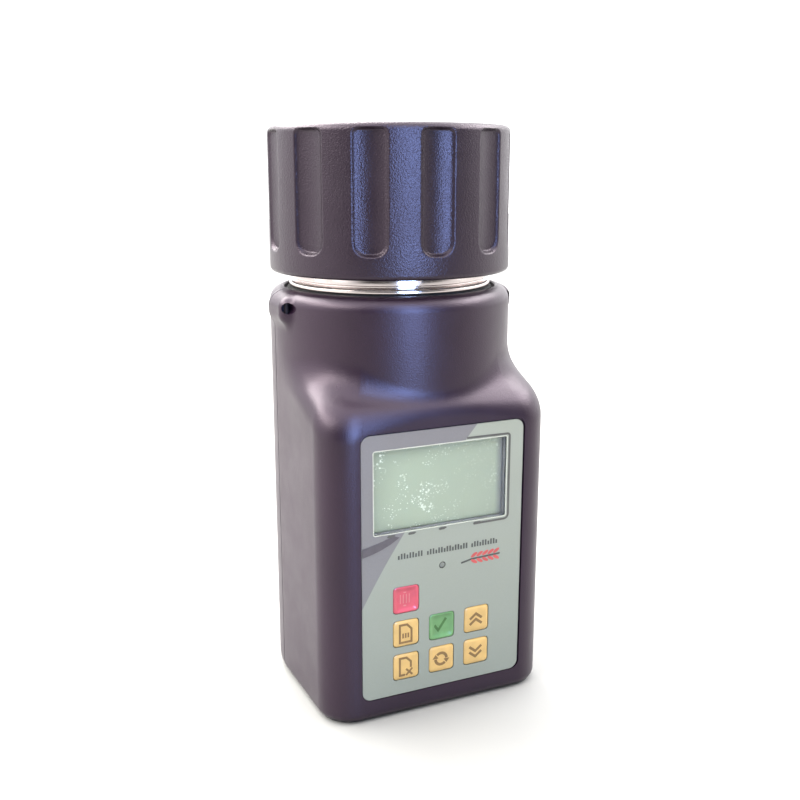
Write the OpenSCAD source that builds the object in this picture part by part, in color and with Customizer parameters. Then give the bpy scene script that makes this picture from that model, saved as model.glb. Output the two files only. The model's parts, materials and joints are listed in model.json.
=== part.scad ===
// Grain moisture meter: a hand-held case with a sample cup in its neck and a
// screw cap that presses the grain down onto the cup's measuring electrode.
// Frame: origin on the cup's axis at the base plane, +Z up, front face to -Y.

/* [Case] */
// Radius of the round neck and of the round back
neck_r = 41.4; // [40:0.1:43]
// Half width across the flat sides of the front half
side_x = 40.8; // [40.1:0.1:43.1]
// Distance from the cup axis to the flat front face
front_y = 44.1; // [43:0.1:46]
// Radius of the upright front corners
corner_r = 11.5; // [6:0.5:12]
// Radius of the rounded edge round the base
base_round = 3.5; // [2:0.5:5]
// Height of the neck's rim above the base
rim_z = 139.4; // [136:0.1:142]
// Radius of the rounded edge on the neck's rim
rim_round = 4.9; // [3:0.1:5]
// Wall thickness of both shells
wall = 2.5; // [2:0.1:3]
// Plane where the front and rear shells meet
seam_y = 1.5; // [0:0.5:3]

/* [Shoulder] */
// Height where the sloping shoulder would meet the front face
shoulder_z = 105.7; // [102:0.1:108]
// Slope of the shoulder, rising towards the neck, in degrees
shoulder_slope = 26; // [20:1:32]
// Top of the squared part beside the neck
side_top_z = 118; // [114:1:122]
// Radius that turns the sides into the shoulder
side_round = 14; // [8:1:16]

/* [Strap lugs] */
// Radius of the rounded rib on each side of the neck
lug_r = 3.5; // [3:0.1:4]
// Height of the lugs' centre line
lug_z = 134.2; // [130:0.1:135]
// Distance from the cup axis to the lug's centre line
lug_x = 39.6; // [39:0.1:40.4]
// Diameter of the pocket in the front end of each lug
lug_pocket_d = 3.6; // [3:0.1:4]

/* [Sample cup] */
// Inner radius of the cup
cup_r = 30; // [28:0.1:30.2]
// Thickness of the cup's drawn wall
cup_wall = 1.2; // [0.8:0.1:1.2]
// Height of the cup's inner floor
cup_floor_z = 72; // [71:0.5:76]
// Height of the cup's mouth
cup_top_z = 156; // [154:0.5:157]
// Radius of the bright collar round the cup
collar_r = 33.5; // [33:0.1:33.8]
// Radius of the collar's flange
flange_r = 34.7; // [34:0.1:35.5]

/* [Cap thread] */
// Number of starts
thread_starts = 4; // [3:1:5]
// Rise of the cap in one turn
thread_lead = 12; // [10:1:15]
// Height of a thread ridge above and below its mean radius
thread_ridge = 0.8; // [0.5:0.1:0.9]
// Radial clearance between cap and collar threads
thread_gap = 0.4; // [0.35:0.05:0.5]

/* [Cap] */
// Outer radius of the cap
cap_r = 41; // [40:0.1:42]
// Height of the cap's lower edge when it is screwed down
cap_base_z = 144.5; // [143.5:0.1:145]
// Height of the cap's top
cap_top_z = 192.2; // [190:0.1:194]
// Radius of the rounded edge round the cap's foot
cap_foot_round = 2.2; // [1.5:0.1:3.5]
// Inner radius of the cap
cap_bore_r = 36.5; // [36:0.1:37]
// Number of finger flutes
flute_count = 12; // [8:1:14]
// Depth of a flute
flute_depth = 2.5; // [1.5:0.1:2.8]
// Width of a flute across the cap's surface
flute_w = 11.8; // [8:0.1:13]

/* [Pressure plate] */
// Radius of the plate that presses on the grain
plate_r = 29.3; // [27:0.1:29.5]
// Travel of the plate and of the indicator pin
plate_travel = 5; // [3:0.5:5]

/* [Front label and keys] */
// Width of the printed label
label_w = 58.2; // [56:0.1:60]
// Height of the printed label
label_h = 90.1; // [88:0.1:91]
// Height of the label's lower edge
label_z = 7.8; // [7:0.1:9]
// Side of a square key
key_w = 9.3; // [8:0.1:9.6]
// Key spacing across the label
key_pitch_x = 13.1; // [12.6:0.1:14]
// Key spacing up the label
key_pitch_z = 11.9; // [11.4:0.1:12.4]
// Travel of a key
key_travel = 0.5; // [0.3:0.1:0.5]

/* [Display] */
// Width of the display window
window_w = 49.8; // [46:0.1:51]
// Height of the display window
window_h = 29.5; // [27:0.1:30]
// Height of the window's centre
window_z = 78.3; // [77:0.1:79]

/* [Batteries] */
// Diameter of one cell
cell_d = 14.5; // [14:0.1:14.5]
// Length of one cell with its contact nub
cell_l = 50.5; // [49:0.1:50.5]
// Half angle of the battery door round the back
door_angle = 46; // [42:1:48]
// Height of the door's lower edge
door_z = 8; // [8:0.5:9]
// Height of the door's upper edge
door_top_z = 64; // [62:0.5:68]

/* [Hidden] */

$fn = 96;
far = 200;
arc_steps = 10;

// Ledge in the neck that carries the cup, with the seal in a recess above it
ledge_t = 3;
seal_t = 1.5;
seal_z = rim_z - seal_t;
ledge_z = seal_z - ledge_t;
seal_recess_r = 36.5;
ledge_bore_r = cup_r + cup_wall + 0.4;

// Case screws run front to back beside the cup
case_screw_x = 35.4;
case_screw_heights = [14, 112];
case_boss_r = 4;
case_screw_seat_y = 10;
case_screw_end_y = -9;
case_screw_r = 1.5;
case_screw_head_r = 2.9;

// Front wall, label recess and what stands behind it
front_in_y = -front_y + 2.7;
label_t = 0.5;
label_back_y = -front_y + 0.7;
label_front_y = label_back_y - label_t;
label_round = 3;
window_t = 1.2;
window_lip = 0.9;
window_back_y = label_back_y + window_t;
board_t = 1.6;
board_front_y = -34.1;
board_back_y = board_front_y + board_t;
board_half_w = 31;
board_z = 8;
board_top_z = 97;
board_screw_spots = [[-27.6, 12], [27.6, 12], [-28.5, 57.5], [28.5, 57.5]];
board_screw_r = 0.98;
board_screw_head_r = 2.3;
board_screw_head_t = 1.4;
board_screw_l = 7;
board_post_r = 3;
board_post_bore_r = 1;
board_hole_r = 1.3;
socket_h = 2.4;
sensor_socket_z = 54;
battery_socket_z = 23;

// Parts soldered on the main board's rear: lowest x and z, highest x and z, height
board_parts = [
    [-6, sensor_socket_z - 3, 6, sensor_socket_z + 3, socket_h],
    [-9, battery_socket_z - 3, 1, battery_socket_z + 3, socket_h],
    [-24, 66, -12, 78, 1.6],
    [10, 60, 22, 63.5, 3.5]
];

// Key grid: columns 0 to 2 from left to right, rows 0 to 2 upwards
key_middle_x = -0.45;
key_first_z = 17.5;
key_gap = 0.2;
key_flange = 0.8;
key_spots = [[0, 2], [1, 1], [2, 1], [2, 0], [1, 0], [0, 1], [0, 0]];
switch_w = 6;
switch_t = 3.5;
plunger_t = 0.9;
plunger_end_y = board_front_y - switch_t - plunger_t;

// Display stack behind the window
lcd_x = -0.6;
lcd_w = 47;
lcd_h = 27.6;
lcd_front_y = -40.1;
lcd_t = 2.8;
frame_rim = 2.6;
light_x = -0.4;
light_z = 51.1;
light_r = 1.1;

// Electrode stack through the cup floor
floor_t = cup_wall;
electrode_r = 5;
electrode_top_z = 117;
electrode_stud_r = 3;
electrode_stud_z = 59;
insulator_r = 11;
insulator_t = 2;
insulator_waist_r = 7.9;
nut_t = 3.2;
upper_nut_z = cup_floor_z - floor_t - insulator_t - nut_t;
sensor_board_t = 1.6;
sensor_board_z = upper_nut_z - sensor_board_t;
sensor_board_r = 16;
probe_x = 21;
probe_r = 3;

// Parts soldered under the sensor board: lowest x and y, highest x and y, height
sensor_board_parts = [[-6, -15, 6, -10, 4], [-12, 3, -7, 8, 1.6], [7, 4, 12, 8, 1.6]];

// Cap interior
cap_lid_t = 3;
lid_z = cap_top_z - cap_lid_t;
thread_z = 146;
thread_mean_r = collar_r - thread_ridge;
insert_z = cap_base_z + 1.8;
insert_lip_z = cup_top_z + 0.2;
insert_lip_t = 1.4;
insert_lip_r = 30.6;
bush_flange_t = 2;
bush_flange_r = 16;
bush_flange_z = lid_z - bush_flange_t;
bush_shoulder_r = 10;
bush_shoulder_z = bush_flange_z - 2.7;
bush_r = 8;
bush_z = bush_shoulder_z - 8.5;
bush_lip_t = 4;
pin_bore_r = 5;
stem_bore_r = 3.56;
running_gap = 0.06;
pin_z = bush_z + bush_lip_t;
pin_top_z = cap_top_z - plate_travel;
stem_r = stem_bore_r - running_gap;
washer_t = 1.5;
washer_r = 14.5;
washer_z = bush_shoulder_z - washer_t;
plate_z = 146;
plate_t = 3;
plate_boss_r = 7;
plate_boss_t = 4;
spring_r = 12;
spring_wire_r = 1;
spring_turns = 5;
cap_screw_circle_r = 13;

// Battery stack: four upright cells in a row
cell_pitch = cell_d + 0.2;
cell_y = 20.5;
cell_z = 7.5;
tray_t = 1.4;
tray_half_w = 2 * cell_pitch + 1.5;
tray_front_y = cell_y - cell_d / 2 - 0.25 - tray_t;
tray_rear_y = 20;
tray_lip_y = 25;
tray_lip_half_w = 28;
tray_z = cell_z - 2.1 - tray_t;
tray_top_z = cell_z + cell_l + 2;
door_t = 2;
door_gap = 0.3;
door_top_gap = 0.8;
door_heel = 1.2;
door_groove = 0.6;
door_groove_w = 1.2;
door_groove_drops = [6, 9, 12];

// The door's lower edge carries two pins, which turn in ears on the rear shell
ear_r = 1.5;
ear_x = 8;
ear_w = 2;
ear_gap = 0.3;
hinge_pin_r = 0.9;
hinge_y = neck_r - ear_r;
hinge_z = door_z + 1.8;

// ---------------------------------------------------------------- helpers

// Corner b of a path a-b-c, replaced by an arc of radius r tangent to both legs
function corner_arc(a, b, c, r) =
    r <= 0 ? [b] :
    let (
        u = (a - b) / norm(a - b),
        v = (c - b) / norm(c - b),
        half = acos(u * v) / 2,
        centre = b + (u + v) / norm(u + v) * r / sin(half),
        p = b + u * r / tan(half) - centre,
        q = b + v * r / tan(half) - centre,
        from = atan2(p[1], p[0]),
        turn = atan2(p[0] * q[1] - p[1] * q[0], p * q)
    )
    [for (i = [0:arc_steps])
        centre + r * [cos(from + turn * i / arc_steps), sin(from + turn * i / arc_steps)]];

// Outline through points [x, y, corner radius]
function rounded(points) =
    let (n = len(points), at = [for (p = points) [p[0], p[1]]])
    [for (i = [0:n - 1]) each corner_arc(at[(i + n - 1) % n], at[i], at[(i + 1) % n], points[i][2])];

// Rounded rectangle of size w by h, centred
module rounded_rect(w, h, r) {
    square([w - 2 * r, h], center = true);
    square([w, h - 2 * r], center = true);
    for (sx = [-1, 1], sy = [-1, 1])
        translate([sx * (w / 2 - r), sy * (h / 2 - r)]) circle(r);
}

// Lays an outline drawn in X and Z into the XZ plane and thickens it from y0 to y1
module across_y(y0, y1) {
    translate([0, y1, 0]) rotate([90, 0, 0]) linear_extrude(y1 - y0) children();
}

// Cylinder along Y at x, z from y0 to y1
module rod_y(x, z, r, y0, y1) {
    translate([x, y0, z]) rotate([-90, 0, 0]) cylinder(r = r, h = y1 - y0);
}

// Box from its lowest corner to its highest corner
module block(low, high) {
    translate(low) cube(high - low);
}

// Ring or disc about the cup axis
module ring(r_out, r_in, z0, z1) {
    difference() {
        translate([0, 0, z0]) cylinder(r = r_out, h = z1 - z0);
        if (r_in > 0) translate([0, 0, z0 - 1]) cylinder(r = r_in, h = z1 - z0 + 2);
    }
}

function direction(path, i) =
    let (d = path[min(i + 1, len(path) - 1)] - path[max(i - 1, 0)]) d / norm(d);

// Round wire along a path; side is any direction that the path never follows
module wire(path, r, side, sides = 8) {
    n = len(path);
    rings = [for (i = [0:n - 1])
        let (d = direction(path, i), v = cross(d, side) / norm(cross(d, side)), u = cross(v, d))
        for (k = [0:sides - 1])
            path[i] + r * (cos(k * 360 / sides) * u + sin(k * 360 / sides) * v)];
    skin = [for (i = [0:n - 2], k = [0:sides - 1])
        [i * sides + k, i * sides + (k + 1) % sides,
         (i + 1) * sides + (k + 1) % sides, (i + 1) * sides + k]];
    ends = [
        [for (k = [0:sides - 1]) sides - 1 - k],
        [for (k = [0:sides - 1]) (n - 1) * sides + k]
    ];
    polyhedron(rings, concat(skin, ends), convexity = 4);
}

// ---------------------------------------------------------------- case form

// Outer form of the case, or its cavity when inset is the wall thickness
module case_form(inset) {
    squared_front(inset);
    round_body(inset);
}

module squared_front(inset) {
    x = side_x - inset;
    y = inset > 0 ? -front_in_y : front_y;
    r = corner_r - inset;
    edge = base_round - inset / 2;
    rise = tan(shoulder_slope);
    drop = inset / cos(shoulder_slope);
    intersection() {
        linear_extrude(side_top_z) block_plan(x, y, r);
        across_y(-far, far) polygon(rounded([
            [-x, inset, edge], [x, inset, edge],
            [x, side_top_z - inset, side_round - inset],
            [-x, side_top_z - inset, side_round - inset]
        ]));
        rotate([0, 0, 90]) across_y(-far, far) polygon(rounded([
            [-y, inset, edge], [far, inset, 0],
            [far, shoulder_z - drop + (far + front_y) * rise, 0],
            [-y, shoulder_z - drop + (front_y - y) * rise, corner_r - inset]
        ]));
    }
}

// Plan of the squared front half, with round front corners
module block_plan(x, y, r) {
    translate([-x, r - y]) square([2 * x, y - r + seam_y]);
    translate([r - x, -y]) square([2 * (x - r), r + 1]);
    for (s = [-1, 1]) translate([s * (x - r), r - y]) circle(r);
}

// Round back and neck, turned about the cup axis
module round_body(inset) {
    if (inset > 0) {
        rotate_extrude() polygon(rounded([
            [0, inset, 0], [neck_r - inset, inset, base_round - inset / 2],
            [neck_r - inset, ledge_z, 0], [ledge_bore_r, ledge_z, 0],
            [ledge_bore_r, seal_z, 0], [seal_recess_r, seal_z, 0],
            [seal_recess_r, rim_z + 1, 0], [0, rim_z + 1, 0]
        ]));
    } else {
        rotate_extrude() polygon(rounded([
            [0, 0, 0], [neck_r, 0, base_round],
            [neck_r, rim_z, rim_round], [0, rim_z, 0]
        ]));
    }
}

// Ribs with round ends that carry the strap, one on each side of the neck
lug_front_y = -11.5;
lug_rear_y = 5;
module lugs() {
    for (s = [-1, 1]) difference() {
        union() {
            rod_y(s * lug_x, lug_z, lug_r, lug_front_y + lug_r, lug_rear_y - lug_r);
            for (y = [lug_front_y + lug_r, lug_rear_y - lug_r])
                translate([s * lug_x, y, lug_z]) sphere(lug_r);
        }
        ring(neck_r - wall / 2, 0, lug_z - 2 * lug_r, lug_z + 2 * lug_r);
    }
}

lug_pocket_x = 40.7;
lug_pocket_y = -5;
module lug_pockets() {
    for (s = [-1, 1])
        rod_y(s * lug_pocket_x, lug_z, lug_pocket_d / 2, -far, lug_pocket_y);
}

module front_half() {
    block([-far, -far, -1], [far, seam_y, far]);
}

module rear_half() {
    block([-far, seam_y, -1], [far, far, far]);
}

// ---------------------------------------------------------------- shells

function key_x(key) = key_middle_x + (key[0] - 1) * key_pitch_x;
function key_z(key) = key_first_z + key[1] * key_pitch_z;

module key_holes(y0, y1) {
    for (key = key_spots)
        translate([key_x(key), 0, key_z(key)])
            across_y(y0, y1) square(key_w + 2 * key_gap, center = true);
}

module label_outline(grow) {
    translate([0, label_z + label_h / 2])
        rounded_rect(label_w + 2 * grow, label_h + 2 * grow, label_round + grow);
}

module window_hole(grow, y0, y1) {
    translate([0, 0, window_z]) across_y(y0, y1)
        square([window_w + 2 * grow, window_h + 2 * grow], center = true);
}

module front_shell() color([0.21, 0.19, 0.23]) difference() {
    union() {
        intersection() {
            difference() {
                case_form(0);
                case_form(wall);
            }
            front_half();
        }
        intersection() {
            lugs();
            front_half();
        }
        for (s = [-1, 1], z = case_screw_heights)
            rod_y(s * case_screw_x, z, case_boss_r, case_screw_end_y - 3, seam_y);
        for (spot = board_screw_spots)
            rod_y(spot[0], spot[1], board_post_r, front_in_y - 1, board_front_y);
    }
    across_y(-far, label_back_y) label_outline(0.25);
    window_hole(window_lip, -far, window_back_y);
    window_hole(-window_lip, -far, front_in_y + 1);
    key_holes(-far, front_in_y + 1);
    rod_y(light_x, light_z, light_r + 0.1, -far, front_in_y + 1);
    for (s = [-1, 1], z = case_screw_heights)
        rod_y(s * case_screw_x, z, case_screw_r, case_screw_end_y, far);
    for (spot = board_screw_spots)
        rod_y(spot[0], spot[1], board_post_bore_r, front_in_y + 1, board_front_y + 1);
    lug_pockets();
    for (s = [-1, 1]) strap_pin(s);
}

// Part of a ring centred on the back: a profile swept round to half_angle each way
module back_sector(half_angle) {
    rotate([0, 0, 90 - half_angle]) rotate_extrude(angle = 2 * half_angle) children();
}

// Cylinder along X from x0 to x1 on the door's hinge axis
module hinge_rod(r, x0, x1) {
    translate([x0, hinge_y, hinge_z]) rotate([0, 90, 0]) cylinder(r = r, h = x1 - x0);
}

// Ears that hold the door's pins, standing on the lower edge of the opening
module door_ears() {
    for (s = [-1, 1]) translate([s * (ear_x + ear_w / 2), 0, 0]) difference() {
        union() {
            hinge_rod(ear_r, -ear_w / 2, ear_w / 2);
            block([-ear_w / 2, hinge_y - ear_r, door_z - 1.5], [ear_w / 2, hinge_y + ear_r, hinge_z]);
        }
        hinge_rod(hinge_pin_r + running_gap, -ear_w, ear_w);
    }
}

module rear_shell() color([0.2, 0.18, 0.22]) {
    door_ears();
    difference() {
        rear_wall();
        translate([0, 0, door_z]) back_sector(door_angle)
            translate([neck_r - wall - 2, 0]) square([wall + 4, door_top_z - door_z]);
        for (s = [-1, 1], z = case_screw_heights) {
            rod_y(s * case_screw_x, z, case_screw_r + 0.2, -1, far);
            rod_y(s * case_screw_x, z, case_screw_head_r + 0.2, case_screw_seat_y, far);
        }
    }
}

// Rear wall with its half of the lugs and its screw bosses
module rear_wall() {
    intersection() {
        difference() {
            round_body(0);
            round_body(wall);
        }
        rear_half();
    }
    intersection() {
        lugs();
        rear_half();
    }
    intersection() {
        for (s = [-1, 1], z = case_screw_heights)
            rod_y(s * case_screw_x, z, case_boss_r + 0.3, seam_y, far);
        round_body(0);
    }
}

module case_screws() color([0.75, 0.76, 0.78])
    for (s = [-1, 1], z = case_screw_heights) difference() {
        union() {
            rod_y(s * case_screw_x, z, case_screw_r - 0.02, case_screw_end_y + 1, case_screw_seat_y);
            rod_y(s * case_screw_x, z, case_screw_head_r, case_screw_seat_y, case_screw_seat_y + 2.2);
        }
        for (turn = [0, 90])
            translate([s * case_screw_x, case_screw_seat_y + 1.8, z]) rotate([0, turn, 0])
                cube([3.4, 1.6, 0.7], center = true);
    }

// One upright pin across the pocket of a lug
strap_pin_r = 0.75;
strap_pin_y = -9.2;
module strap_pin(side) {
    translate([side * lug_pocket_x, strap_pin_y, lug_z - 2.7]) cylinder(r = strap_pin_r, h = 5.2);
}

module strap_pins() color([0.8, 0.8, 0.82])
    for (s = [-1, 1]) strap_pin(s);

// ---------------------------------------------------------------- cup

module sample_cup() color([0.78, 0.79, 0.8]) difference() {
    rotate_extrude() polygon(rounded([
        [0, cup_floor_z - floor_t, 0], [cup_r + cup_wall, cup_floor_z - floor_t, 3],
        [cup_r + cup_wall, cup_top_z, 0.5], [cup_r, cup_top_z, 0.5],
        [cup_r, cup_floor_z, 2], [0, cup_floor_z, 0]
    ]));
    translate([0, 0, cup_floor_z - 5]) cylinder(r = insulator_waist_r, h = 10);
    translate([probe_x, 0, cup_floor_z - 5]) cylinder(r = probe_r, h = 10);
}

// Lobed plan whose twist makes the multi-start thread
thread_points = 48;
thread_step = 12;
module thread_form(z0, z1, gap) {
    lobes = [for (i = [0:thread_points - 1])
        let (a = i * 360 / thread_points,
             r = thread_mean_r + gap + thread_ridge * cos(thread_starts * a))
        r * [cos(a), sin(a)]];
    start = 360 * (z0 - thread_z) / thread_lead;
    turn = 360 * (z1 - z0) / thread_lead;
    translate([0, 0, z0]) rotate([0, 0, start])
        linear_extrude(z1 - z0, twist = -turn, slices = ceil(turn / thread_step))
            polygon(lobes);
}

module threaded_collar() color([0.86, 0.87, 0.88]) difference() {
    union() {
        thread_form(thread_z, cup_top_z, 0);
        rotate_extrude() polygon(rounded([
            [0, rim_z, 0], [flange_r, rim_z, 0.4], [flange_r, rim_z + 1.5, 0.6],
            [collar_r, rim_z + 1.5, 0], [collar_r, thread_z, 0], [0, thread_z, 0]
        ]));
    }
    translate([0, 0, rim_z - 1]) cylinder(r = cup_r + cup_wall, h = 30);
}

module cup_seal() color([0.06, 0.06, 0.06])
    ring(flange_r, ledge_bore_r, seal_z, rim_z);

module cup_clamp_ring() color([0.7, 0.71, 0.73])
    ring(35.6, cup_r + cup_wall, ledge_z - 4.5, ledge_z);

module centre_electrode() color([0.8, 0.8, 0.78])
    rotate_extrude() polygon(rounded([
        [0, electrode_stud_z, 0], [electrode_stud_r, electrode_stud_z, 0.5],
        [electrode_stud_r, cup_floor_z + insulator_t, 0],
        [electrode_r, cup_floor_z + insulator_t, 0],
        [electrode_r, electrode_top_z, 3], [0, electrode_top_z, 0]
    ]));

module electrode_insulator() color([0.93, 0.92, 0.88]) difference() {
    union() {
        ring(insulator_r, 0, cup_floor_z, cup_floor_z + insulator_t);
        ring(insulator_waist_r, 0, cup_floor_z - floor_t - 1, cup_floor_z + 1);
        ring(insulator_r, 0, cup_floor_z - floor_t - insulator_t, cup_floor_z - floor_t);
    }
    translate([0, 0, cup_floor_z - 9]) cylinder(r = electrode_stud_r, h = 20);
}

module electrode_nuts() color([0.78, 0.72, 0.5])
    for (z = [upper_nut_z, sensor_board_z - nut_t]) difference() {
        translate([0, 0, z]) cylinder(r = 5.7, h = nut_t, $fn = 6);
        translate([0, 0, z - 1]) cylinder(r = electrode_stud_r, h = nut_t + 2);
    }

module temperature_sensor() color([0.82, 0.83, 0.85])
    translate([probe_x, 0, 0]) rotate_extrude() polygon(rounded([
        [0, cup_floor_z - 8, 0], [probe_r - 0.8, cup_floor_z - 8, 0],
        [probe_r - 0.8, cup_floor_z - 5, 0], [probe_r, cup_floor_z - 5, 0],
        [probe_r, cup_floor_z + 2.2, 1.2], [0, cup_floor_z + 2.2, 0]
    ]));

module sensor_board() color([0.1, 0.36, 0.2]) {
    ring(sensor_board_r, electrode_stud_r, sensor_board_z, sensor_board_z + sensor_board_t);
    for (p = sensor_board_parts)
        block([p[0], p[1], sensor_board_z - p[4]], [p[2], p[3], sensor_board_z]);
}

module sensor_lead() color([0.75, 0.12, 0.1])
    for (x = [-3.5, 0, 3.5])
        wire([[x, -15, sensor_board_z - 2], [x, -17, sensor_board_z - 2],
              [x, -20, sensor_board_z - 4], [x, -23, sensor_board_z - 8],
              [x, -25.5, sensor_socket_z + 0.6], [x, -28, sensor_socket_z],
              [x, board_back_y + socket_h, sensor_socket_z]],
             0.7, [1, 0, 0]);

// ---------------------------------------------------------------- cap

flute_half = flute_w / 2;
flute_floor_r = cap_r - flute_depth;
flute_edge_x = sqrt(cap_r * cap_r - flute_half * flute_half);
flute_cut_r = (pow(flute_edge_x - flute_floor_r, 2) + flute_half * flute_half)
    / (2 * (flute_edge_x - flute_floor_r));
flute_z = cap_base_z + 7;
flute_top_z = cap_top_z - 1.8;

module flute() {
    translate([flute_floor_r + flute_cut_r, 0, flute_z + flute_half]) {
        cylinder(r = flute_cut_r, h = flute_top_z - flute_z - flute_half);
        sphere(flute_cut_r);
    }
}

module cap_shell() color([0.22, 0.2, 0.24]) difference() {
    rotate_extrude() polygon(rounded([
        [0, lid_z, 0], [cap_bore_r, lid_z, 1.5], [cap_bore_r, cap_base_z, 0.8],
        [cap_r, cap_base_z, cap_foot_round], [cap_r, cap_top_z, 2], [0, cap_top_z, 0]
    ]));
    for (i = [0:flute_count - 1])
        rotate([0, 0, -90 + i * 360 / flute_count]) flute();
    translate([0, 0, lid_z - 1]) cylinder(r = bush_r, h = cap_lid_t + 2);
    cap_screw_spots() translate([0, 0, lid_z - 1]) cylinder(r = 0.9, h = 3);
}

module cap_thread_insert() color([0.86, 0.85, 0.82]) difference() {
    ring(cap_bore_r, 0, insert_z, insert_lip_z + insert_lip_t);
    thread_form(insert_z - 0.5, insert_lip_z, thread_gap);
    translate([0, 0, insert_lip_z - 1]) cylinder(r = insert_lip_r, h = 9);
}

module cap_screw_spots() {
    for (i = [0:2]) rotate([0, 0, 30 + i * 120]) translate([cap_screw_circle_r, 0, 0]) children();
}

module cap_guide_bush() color([0.8, 0.68, 0.35]) difference() {
    rotate_extrude() polygon([
        [0, bush_z], [bush_r, bush_z], [bush_r, bush_shoulder_z],
        [bush_shoulder_r, bush_shoulder_z], [bush_shoulder_r, bush_flange_z],
        [bush_flange_r, bush_flange_z], [bush_flange_r, lid_z],
        [bush_r, lid_z], [bush_r, cap_top_z - 0.3], [0, cap_top_z - 0.3]
    ]);
    translate([0, 0, bush_z - 1]) cylinder(r = stem_bore_r, h = 20);
    translate([0, 0, pin_z]) cylinder(r = pin_bore_r, h = 30);
    cap_screw_spots() translate([0, 0, bush_flange_z - 1]) cylinder(r = 1.2, h = 5);
}

module cap_screws() color([0.75, 0.76, 0.78])
    cap_screw_spots() {
        translate([0, 0, bush_flange_z]) cylinder(r = 0.88, h = 3.8);
        translate([0, 0, bush_flange_z - 1.1]) cylinder(r = 2, h = 1.1);
    }

module thrust_washer() color([0.72, 0.73, 0.75])
    ring(washer_r, bush_r + 0.3, washer_z, bush_shoulder_z - 0.02);

// The spring keeps a wire's gap to the plate and touches the washer's underside
spring_z = plate_z + plate_t + spring_wire_r + 0.05;
spring_top_z = washer_z - spring_wire_r - 0.05;
spring_steps = 22;
module pressure_spring() color([0.6, 0.62, 0.65])
    wire([for (i = [0:spring_turns * spring_steps])
            [spring_r * cos(i * 360 / spring_steps), spring_r * sin(i * 360 / spring_steps),
             spring_z + (spring_top_z - spring_z) * i / (spring_turns * spring_steps)]],
         spring_wire_r, [0, 0, 1]);

module pressure_plate() color([0.82, 0.83, 0.84]) difference() {
    union() {
        rotate_extrude() polygon(rounded([
            [0, plate_z, 0], [plate_r, plate_z, 1], [plate_r, plate_z + plate_t, 0.4],
            [0, plate_z + plate_t, 0]
        ]));
        ring(plate_boss_r, 0, plate_z + 1, plate_z + plate_t + plate_boss_t);
    }
    translate([0, 0, plate_z + 1.5]) cylinder(r = stem_r, h = 20);
}

module pressure_stem() color([0.7, 0.71, 0.73])
    ring(stem_r, 0, plate_z + 1.5, pin_z);

module indicator_pin() color([0.85, 0.2, 0.15])
    rotate_extrude() polygon(rounded([
        [0, pin_z, 0], [pin_bore_r - running_gap, pin_z, 0.3],
        [pin_bore_r - running_gap, pin_top_z, 1], [0, pin_top_z, 0]
    ]));

// ---------------------------------------------------------------- front

module front_label() color([0.62, 0.63, 0.6]) difference() {
    across_y(label_front_y, label_back_y) label_outline(0);
    window_hole(0, -far, 0);
    key_holes(-far, 0);
    rod_y(light_x, light_z, light_r + 0.1, -far, 0);
}

module display_window() color([0.8, 0.85, 0.85, 0.4])
    window_hole(window_lip - 0.1, label_back_y, window_back_y);

module lcd_rect(grow, y0, y1) {
    translate([lcd_x, 0, window_z]) across_y(y0, y1)
        square([lcd_w + 2 * grow, lcd_h + 2 * grow], center = true);
}

module lcd_frame() color([0.16, 0.16, 0.17]) difference() {
    lcd_rect(frame_rim, lcd_front_y - 1, board_front_y);
    lcd_rect(-1, -far, 0);
    lcd_rect(0.1, lcd_front_y, 0);
}

module lcd_glass() color([0.72, 0.8, 0.68])
    lcd_rect(0, lcd_front_y, lcd_front_y + lcd_t);

module lcd_backlight() color([0.85, 0.95, 0.8])
    lcd_rect(0, lcd_front_y + lcd_t, board_front_y);

module status_light() color([0.7, 0.7, 0.68]) {
    rod_y(light_x, light_z, light_r, label_front_y + 0.1, -38);
    rod_y(light_x, light_z, 1.5, -38, board_front_y);
}

module main_board() color([0.1, 0.36, 0.2]) {
    difference() {
        block([-board_half_w, board_front_y, board_z], [board_half_w, board_back_y, board_top_z]);
        for (spot = board_screw_spots)
            rod_y(spot[0], spot[1], board_hole_r, -far, 0);
    }
    for (p = board_parts)
        block([p[0], board_back_y, p[1]], [p[2], board_back_y + p[4], p[3]]);
}

module board_screws() color([0.75, 0.76, 0.78])
    for (spot = board_screw_spots) {
        rod_y(spot[0], spot[1], board_screw_r, board_back_y - board_screw_l, board_back_y);
        rod_y(spot[0], spot[1], board_screw_head_r, board_back_y, board_back_y + board_screw_head_t);
    }

module key_switches() color([0.15, 0.15, 0.16])
    for (key = key_spots) {
        translate([key_x(key), 0, key_z(key)])
            across_y(board_front_y - switch_t, board_front_y) square(switch_w, center = true);
        rod_y(key_x(key), key_z(key), 1.75, plunger_end_y, board_front_y - switch_t);
    }

// Key cap with a flange behind the front wall and a stem to its switch
module key_cap(key, proud) {
    flange_y = front_in_y + 0.05;
    translate([key_x(key), 0, key_z(key)]) {
        across_y(label_front_y - proud, flange_y + 0.5) rounded_rect(key_w, key_w, 1);
        across_y(flange_y, flange_y + 0.9)
            square(key_w + 2 * key_flange, center = true);
    }
    rod_y(key_x(key), key_z(key), 2, flange_y, plunger_end_y - key_travel - 0.1);
}

module power_key() color([0.9, 0.35, 0.42]) key_cap(key_spots[0], 0);
module confirm_key() color([0.45, 0.75, 0.5]) key_cap(key_spots[1], 0);
module up_key() color([0.85, 0.85, 0.4]) key_cap(key_spots[2], 0.2);
module down_key() color([0.85, 0.85, 0.4]) key_cap(key_spots[3], 0.2);
module cycle_key() color([0.85, 0.85, 0.4]) key_cap(key_spots[4], 0.2);
module page_key() color([0.85, 0.85, 0.4]) key_cap(key_spots[5], 0.2);
module delete_key() color([0.85, 0.85, 0.4]) key_cap(key_spots[6], 0.2);

// ---------------------------------------------------------------- batteries

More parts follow.
